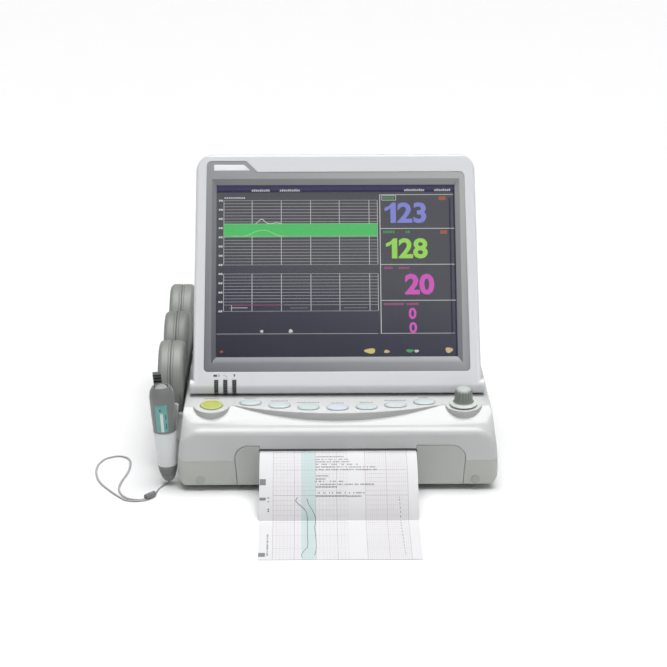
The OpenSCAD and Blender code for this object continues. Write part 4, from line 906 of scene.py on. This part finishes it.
trace("heart_trace_1", [(-82, 180.2), (-79, 183), (-76, 185), (-73, 182.5), (-70, 180.6), (-66, 180.4),
                        (-61, 181.2), (-57, 180.2)], 0.7, DOT, W3)
trace("heart_trace_2", [(-105, 167.4), (-95, 167.2), (-88, 169), (-82, 172), (-74, 173.5), (-66, 171),
                        (-60, 168), (-52, 167)], 0.6, GREEN_SOFT, W3)


def make_rules():
    """The picture's rules and bars, with rows of small ticks."""
    flat("screen_rules", [(41.0, 66.2, 41.8, 210.3), (41.0, 209.9, 114.6, 210.5),
                          (41.0, 174.4, 115.2, 175.1), (41.0, 137.0, 115.4, 137.7),
                          (41.0, 99.9, 115.6, 100.6), (41.0, 66.2, 113.6, 66.7),
                          (-120.4, 66.2, 38.6, 66.6)], RULE, W1)
    flat("title_bar", [(-118.4, 216.6, 117.6, 221.3)], NAVY, W1, place=HEAD)
    flat("title_bar_foot", [(-118.4, 214.2, 117.6, 216.6)], DEEP, W1, place=HEAD)
    flat("side_bar", [(112.6, 66, 114.2, 208), (116.8, 44.2, 118.2, 221)], DEEP, W1, place=HEAD)
    flat("orange_marks", [(100, 204.4, 107, 208.2), (101, 169.0, 108, 172.6)], ORANGE, W2)
    dots = []
    for start, count in ((-86, 9), (-58, 10), (66, 10), (96, 8)):
        dots += [(start + 2.05 * i, 213.9, start + 2.05 * i + 1.3, 215.7 + 0.3 * (i * 5 % 3))
                 for i in range(count)]
    dots += [(-113 + 2.1 * i, 206.4, -113 + 2.1 * i + 1.3, 208.0) for i in range(10)]
    flat("status_marks", dots, DOT, W2)
    flat("cell_mark_1", [(43.2, 204.2, 57.6, 204.7), (43.2, 208.9, 57.6, 209.4),
                         (43.2, 204.2, 43.7, 209.4), (57.1, 204.2, 57.6, 209.4)], DOT, W2)
    small = [(45 + 2.2 * i, 205.7, 46.4 + 2.2 * i, 207.8) for i in range(5)]
    small += [(44.5 + 2.4 * i, 169.8, 46.0 + 2.4 * i, 172.4) for i in range(5)]
    small += [(67 + 2.2 * i, 169.8, 68.4 + 2.2 * i, 172.2) for i in range(2)]
    flat("cell_marks", small, LEAF, W2)
    flat("cell_marks_rose", [(45, 132.6, 53.6, 134.8), (59, 132.8, 70, 134.6), (44, 95.4, 64, 97.6),
                             (66.6, 95.4, 78.6, 97.6)], ROSE, W2)


make_rules()


def make_digits(name, text, x, v, high, wide, material, weight):
    """Plain numbers, fitted to a height and a width about the point (x, v)."""
    data = bpy.data.curves.new(name, "FONT")
    data.body = text
    data.size = 1.0
    data.offset = weight
    data.resolution_u = 4
    temp = add_object(name + "_text", data)
    bpy.context.view_layer.update()
    mesh = bpy.data.meshes.new_from_object(temp.evaluated_get(bpy.context.evaluated_depsgraph_get()))
    bpy.data.objects.remove(temp)
    xs = [c.co.x for c in mesh.vertices]
    ys = [c.co.y for c in mesh.vertices]
    sx = wide / (max(xs) - min(xs))
    sy = high / (max(ys) - min(ys))
    points = [on_screen((c.co.x - min(xs)) * sx + x - wide / 2,
                        (c.co.y - min(ys)) * sy + v - high / 2, W3) for c in mesh.vertices]
    faces = [tuple(f.vertices) for f in mesh.polygons]
    bpy.data.meshes.remove(mesh)
    thicken(lit(name, points, faces, material), PLATE_T)


def make_one(name, x, v, high, wide, material):
    """A plain figure one with a sloped flag, from its left edge x and its middle v."""
    form = [(1.0, 0.0), (1.0, 1.0), (0.66, 1.0), (0.4, 0.84), (0.0, 0.75), (0.0, 0.58), (0.3, 0.63),
            (0.52, 0.73), (0.52, 0.0)]
    points = [on_screen(x + wide * a, v + high * (b - 0.5), w) for w in (W3, W3 + PLATE_T)
              for a, b in form]
    lit(name, points, tube_faces(2, len(form)), material)


make_one("number_upper_one", 46.1, 191.2, 21.2, 11.2, VIOLET)
make_digits("number_upper", "23", 73.1, 191.2, 21.6, 28.8, VIOLET, weight=0.03)
make_one("number_middle_one", 47.0, 154.0, 20.8, 11.2, LIME)
make_digits("number_middle", "28", 73.9, 154.0, 21.2, 28.8, LIME, weight=0.03)
make_digits("number_lower", "20", 79.8, 116.8, 21.6, 29.0, MAGENTA, weight=0.04)
make_digits("number_small_1", "0", 72.4, 86.8, 11.6, 7.6, MAGENTA, weight=0.03)
make_digits("number_small_2", "0", 72.8, 72.2, 11.2, 7.6, MAGENTA, weight=0.03)


def blob(name, x, v, rx, rv, material, w=W2, place=SCREEN):
    """A plain spot with three soft lobes."""
    n = 20
    points = []
    for z in (w, w + PLATE_T):
        for k in range(n):
            a = math.tau * k / n
            wave = 1 + 0.12 * math.sin(3 * a + x)
            points.append(place @ Vector((x + rx * wave * math.cos(a), v + rv * wave * math.sin(a), z)))
    lit(name, points, tube_faces(2, n), material)


blob("icon_1", 30.2, 48.6, 5.4, 2.6, YELLOW)
blob("icon_2", 46.5, 48.0, 2.8, 1.6, TAN)
blob("icon_3", 69.2, 48.6, 3.6, 1.6, LEAF)
blob("icon_4", 75.8, 48.3, 2.2, 1.4, DOT)
blob("icon_5", 107.6, 49.2, 3.6, 2.8, TAN)
blob("icon_6", -76.0, 69.0, 1.6, 1.4, DOT)
blob("icon_7", -47.6, 69.2, 2.0, 1.8, DOT)
blob("icon_8", -115.4, 48.4, 1.6, 1.2, ORANGE)


# Lamps in the head's front

def make_alarm_lens():
    """The lens in the surround's tab, with a bevelled edge."""
    face = -0.3
    top = 241.7
    low = top - 6.4
    left = -121.0
    edge = [(left + 37.4, low), (left + 30.8, top), (left, top), (left, low)]
    inner = [(left + 36.1, low + 0.7), (left + 30.4, top - 0.7), (left + 0.7, top - 0.7),
             (left + 0.7, low + 0.7)]
    rings = ((edge, -4.0), (edge, face - 0.25), (inner, face))
    points = [HEAD @ Vector((x, v, w)) for ring, w in rings for x, v in ring]
    piece("alarm_lens", points, tube_faces(3, 4), LENS, "display_head", smooth=False)


make_alarm_lens()

LAMP_X = (-117.8, -109.0, -100.2)
LAMP_TOP = 19.4
LAMP_L = 13.0
LAMP_SPANS = 52
SPANS_A_RIB = 4


def round_the_nose(v):
    """The head's front at height v, as v, w and the way straight out of it."""
    if v >= NOSE_V:
        return v, 0.0, (0.0, 1.0)
    a = math.asin(min(1.0, (NOSE_V - v) / NOSE_R))
    return NOSE_V - NOSE_R * math.sin(a), NOSE_R * math.cos(a) - NOSE_R, (-math.sin(a), math.cos(a))


def on_rib(span):
    """1 where a rib stands, 0 in the groove after it."""
    return (span // SPANS_A_RIB) % 2


def make_lamp(number, x):
    """A ribbed dark lens that wraps round the chin."""
    points = []
    for i in range(LAMP_SPANS + 1):
        v, w, (nv, nw) = round_the_nose(LAMP_TOP - i / LAMP_SPANS * LAMP_L)
        face = 0.04 + 0.16 * on_rib(i)
        for dx, lift in ((1.85, -1.2), (1.85, -0.05), (1.5, face), (-1.5, face), (-1.85, -0.05),
                         (-1.85, -1.2)):
            points.append(HEAD @ Vector((x + dx, v + nv * lift, w + nw * lift)))
    o = piece(f"lamp_lens_{number}", points, tube_faces(LAMP_SPANS + 1, 6), [LED, RIB],
              "display_head", smooth=False)
    for f in o.data.polygons:
        span, side = divmod(f.index, 6)
        f.material_index = on_rib(span) if side == 2 else 0
    return o


lamps = [make_lamp(lamp_index + 1, lamp_x) for lamp_index, lamp_x in enumerate(LAMP_X)]
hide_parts("indicator_lenses")


def make_symbols():
    """A cell, a wave and a bulb over the three lamps."""
    over = 0.01
    flat("symbol_cell", [(-120.6, 22.6, -117.0, 24.8), (-116.6, 22.6, -115.2, 22.9),
                         (-116.6, 24.5, -115.2, 24.8), (-115.2, 22.6, -114.9, 24.8),
                         (-114.9, 23.2, -114.4, 24.2)], MARK, over,
         place=HEAD)
    n = 16
    points = []
    for i in range(n + 1):
        x = -111.2 + 4.2 * i / n
        v = 23.7 + 0.8 * math.sin(math.tau * i / n)
        for dv, w in ((-0.2, over), (0.2, over), (0.2, over + PLATE_T), (-0.2, over + PLATE_T)):
            points.append(HEAD @ Vector((x, v + dv, w)))
    faces = [f for i in range(n) for f in span_faces(4, 4 * i)]
    piece("symbol_wave", points, faces, MARK, "display_head", smooth=False)
    blob("symbol_bulb", -100.2, 24.3, 1.0, 0.9, MARK, w=over, place=HEAD)
    flat("symbol_bulb_foot", [(-100.7, 22.3, -99.7, 23.2)], MARK, over, place=HEAD)


make_symbols()


def console_marks(name, places, material):
    """Rows of small printed ticks on the console, each about a point (x, y) with a length."""
    ticks = []
    for x, y, length in places:
        n = max(2, int(length / 1.5))
        for i in range(n):
            x0 = x - length / 2 + length * i / n
            ticks.append((x0, y, x0 + 1.0, y + (1.5 if (i * 7 + n) % 3 else 2.1)))
    flat(name, ticks, material, 0.01, body="base", place=console_matrix(0, 0))


KEY_MARK = finish_of("key_mark", (104, 107, 110), rough=0.6)
START_MARK = finish_of("start_mark", (150, 112, 102), rough=0.6)
LABEL_LENGTHS = (12, 17, 22, 13, 13, 21, 10)
KEY_TO_LABEL = 9.8
START_TO_LABEL = 14.6
label_rows = []
for label_index, label_length in enumerate(LABEL_LENGTHS):
    label_x, key_y = key_at(label_index)
    label_rows.append((label_x, key_y + KEY_TO_LABEL, label_length))
console_marks("key_labels", label_rows, KEY_MARK)
console_marks("start_label", [(-POD_X, POD_Y + START_TO_LABEL, 16)], START_MARK)


# Printed chart paper: it leaves level, bends down over an arc and lies on the table

TURN = 2 * math.atan((STRIP_TOP - SHEET_T / 2) / STRIP_REACH)
ARC_R = STRIP_REACH / math.sin(TURN)
ARC_L = TURN * ARC_R


def on_strip(x, s, lift):
    """A point on the chart paper: x from its left edge, s from the front face along it."""
    lift += SHEET_T / 2
    if s < ARC_L:
        a = math.pi / 2 + max(s, 0) / ARC_R
        y = (ARC_R + lift) * math.cos(a)
        z = STRIP_TOP - ARC_R + (ARC_R + lift) * math.sin(a)
        if s < 0:
            y, z = -s, STRIP_TOP + lift
    else:
        y, z = -STRIP_REACH - (s - ARC_L), SHEET_T / 2 + lift
    return base_row(x - PAPER_W / 2, y, z)


def strip_cells(name, cells, material, lift):
    """Thin ink on the paper, each cell from (x0, s0) to (x1, s1) and cut short along the arc."""
    points, faces = [], []
    top = lift + PLATE_T
    for x0, s0, x1, s1 in cells:
        cuts = [s0, ARC_L, s1] if s0 < ARC_L < s1 else [s0, s1]
        fine = []
        for a, b in zip(cuts, cuts[1:]):
            n = 1 if a >= ARC_L else max(1, math.ceil((b - a) / LONGEST_CUT))
            fine += [a + (b - a) * i / n for i in range(n)]
        fine.append(s1)
        k = len(points)
        for s in fine:
            points += [on_strip(x, s, z) for x, z in ((x0, top), (x1, top), (x1, lift), (x0, lift))]
        faces += tube_faces(len(fine), 4, k)
    piece(name, points, faces, material, "paper_drawer", smooth=False)


LONGEST_CUT = 4.0
PINK = finish_of("ink_pink", (203, 191, 197), rough=0.85, vary=0.03)
PINK_DARK = finish_of("ink_pink_dark", (176, 160, 168), rough=0.85, vary=0.03)
CYAN = finish_of("ink_cyan", (194, 211, 211), rough=0.85, vary=0.02)
INK = finish_of("ink_grey", (100, 100, 107), rough=0.8, vary=0.12)
TRACE = finish_of("ink_trace", (80, 94, 102), rough=0.8, vary=0.08)
SQUARE = finish_of("ink_square", (130, 132, 130), rough=0.85)

# The print starts clear of the slot and ends just short of the sheet's end
PRINT_FROM = 1.5
PRINT_TO = 179.0
# Each grid as its left and right edge, the step of its lines, and how many steps to a bold one
RATE_GRID = (13.1, 83.1, 10 / 3, 6)
PRESSURE_GRID = (100.2, 140.2, 2.0, 10)
CROSS_FROM = 4.0
CROSS_STEP = 5.0
CROSS_BOLD = 6


def make_chart_lines():
    """The coloured band and the lines of both grids."""
    strip_cells("chart_band", [(39.8, PRINT_FROM, 52.8, PRINT_TO)], CYAN, 0.02)
    fine, bold = [], []
    for low, high, step, heavy in (RATE_GRID, PRESSURE_GRID):
        for i in range(round((high - low) / step) + 1):
            x = low + step * i
            if i % heavy == 0:
                bold.append((x - 0.16, PRINT_FROM, x + 0.16, PRINT_TO))
            else:
                fine.append((x - 0.09, PRINT_FROM, x + 0.09, PRINT_TO))
        for i in range(math.ceil((PRINT_TO - CROSS_FROM) / CROSS_STEP)):
            s = CROSS_FROM + CROSS_STEP * i
            if i % CROSS_BOLD == 0:
                bold.append((low, s - 0.14, high, s + 0.14))
            else:
                fine.append((low, s - 0.08, high, s + 0.08))
    strip_cells("chart_fine_lines", fine, PINK, 0.05)
    strip_cells("chart_bold_lines", bold, PINK_DARK, 0.08)
    strip_cells("chart_squares", [(0.3, 45.5, 6.2, 52.6), (0.3, 66.2, 6.2, 69.0), (0.2, 164.0, 6.4, 172.6)],
                SQUARE, 0.05)


def draws(seed):
    """Numbers from 0 to 1 that come in the same order each time."""
    while True:
        seed = (seed * 1103515245 + 12345) % 2147483648
        yield seed / 2147483648


def make_chart_ticks():
    """Rows of small ticks across the paper, each row as s, its length and how full it is."""
    marks = []
    draw = draws(7)
    left = 53.6
    rows = [(12.8, 26, 1.0), (17.7, 32, 0.7), (21.8, 33, 0.7), (25.9, 40, 0.7), (29.9, 57, 0.75),
            (33.6, 57, 0.75), (41.7, 12, 1.0), (45.6, 9, 1.0), (48.5, 31, 0.5), (52.0, 54, 0.8),
            (55.0, 20, 0.8), (61.4, 46, 0.6), (64.9, 42, 0.9)]
    for s, length, fill in rows:
        x = left
        while x < left + length:
            r = next(draw)
            if r < fill:
                marks.append((x, s - 0.65, x + 0.75, s + 0.65))
                if r < fill * 0.5:
                    marks.append((x + 0.2, s - 1.0, x + 0.5, s + 1.0))
            x += 1.35
    for s0, s1, x in ((66.0, 79.5, 8.6), (122.0, 172.0, 8.4)):
        s = s0
        while s < s1:
            if next(draw) < 0.8:
                marks.append((x - 0.7, s, x + 0.7, s + 1.0))
            s += 1.9
    strip_cells("chart_text_marks", marks, INK, 0.1)


make_chart_lines()
make_chart_ticks()


def strip_trace(name, points, width, dash=0):
    """A plotted line through (x, s) points, dashed where dash says how many spans to draw."""
    path = curve_through([(x, s, 0) for x, s in points], 8)
    faces = []
    for i in range(len(path) - 1):
        if not dash or i % (2 * dash) < dash:
            faces += span_faces(4, 4 * i)
    piece(name, line_rings(path, width, 0.11, on_strip), faces, TRACE, "paper_drawer",
          smooth=False)


strip_trace("chart_trace_1", [(36.0, 66.0), (34.4, 69.3), (36.0, 71.8), (43.2, 79.0), (45.2, 86.1),
                              (45.2, 98.8), (45.3, 127.3), (45.3, 149.6), (42.6, 157.9),
                              (39.8, 168), (40.4, 175)], 0.5)
strip_trace("chart_trace_2", [(45.0, 67.4), (46.6, 73.0), (51.0, 81.0), (53.0, 89.0), (52.0, 105.0),
                              (52.6, 122.0), (53.2, 138.0), (53.0, 158.0), (51.4, 170.0)], 0.5)
strip_trace("chart_trace_3", [(131.8, 66.0), (132.6, 80.0), (133.0, 100.0), (133.6, 130.0),
                              (134.4, 160.0), (134.8, 171.0)], 0.4, dash=1)


# Floor, light and sky

def make_stage():
    """A plain pale floor, a hair below the feet so that nothing on it flickers."""
    mesh = bpy.data.meshes.new("floor")
    mesh.from_pydata([(-8, -8, 0), (8, -8, 0), (8, 8, 0), (-8, 8, 0)], [], [(0, 1, 2, 3)])
    floor = add_object("floor", mesh)
    floor.location.z = -0.2 * MM
    mesh.materials.append(finish_of("floor_white", (253, 253, 254), rough=0.35, vary=0.002,
                                    bump=0.0, spread=0.02))


make_stage()


def soft_sun(name, power, spread, toward):
    """Even light whose rays run along toward, from a source spread degrees wide."""
    data = bpy.data.lights.new(name, "SUN")
    data.energy = power
    data.angle = math.radians(spread)
    light = add_object(name, data)
    light.rotation_euler = Vector(toward).to_track_quat("-Z", "Y").to_euler()


soft_sun("overhead_softbox", 3.45, 54, (-0.05, -0.05, -1.0))
soft_sun("front_softbox", 0.34, 60, (-0.2, 1.0, -1.1))
sky = bpy.data.worlds.new("studio")
sky.use_nodes = True
background = sky.node_tree.nodes["Background"].inputs
background["Color"].default_value = (0.97, 0.985, 1.0, 1.0)
background["Strength"].default_value = 0.06
bpy.context.scene.world = sky
bpy.context.scene.view_settings.view_transform = "Standard"
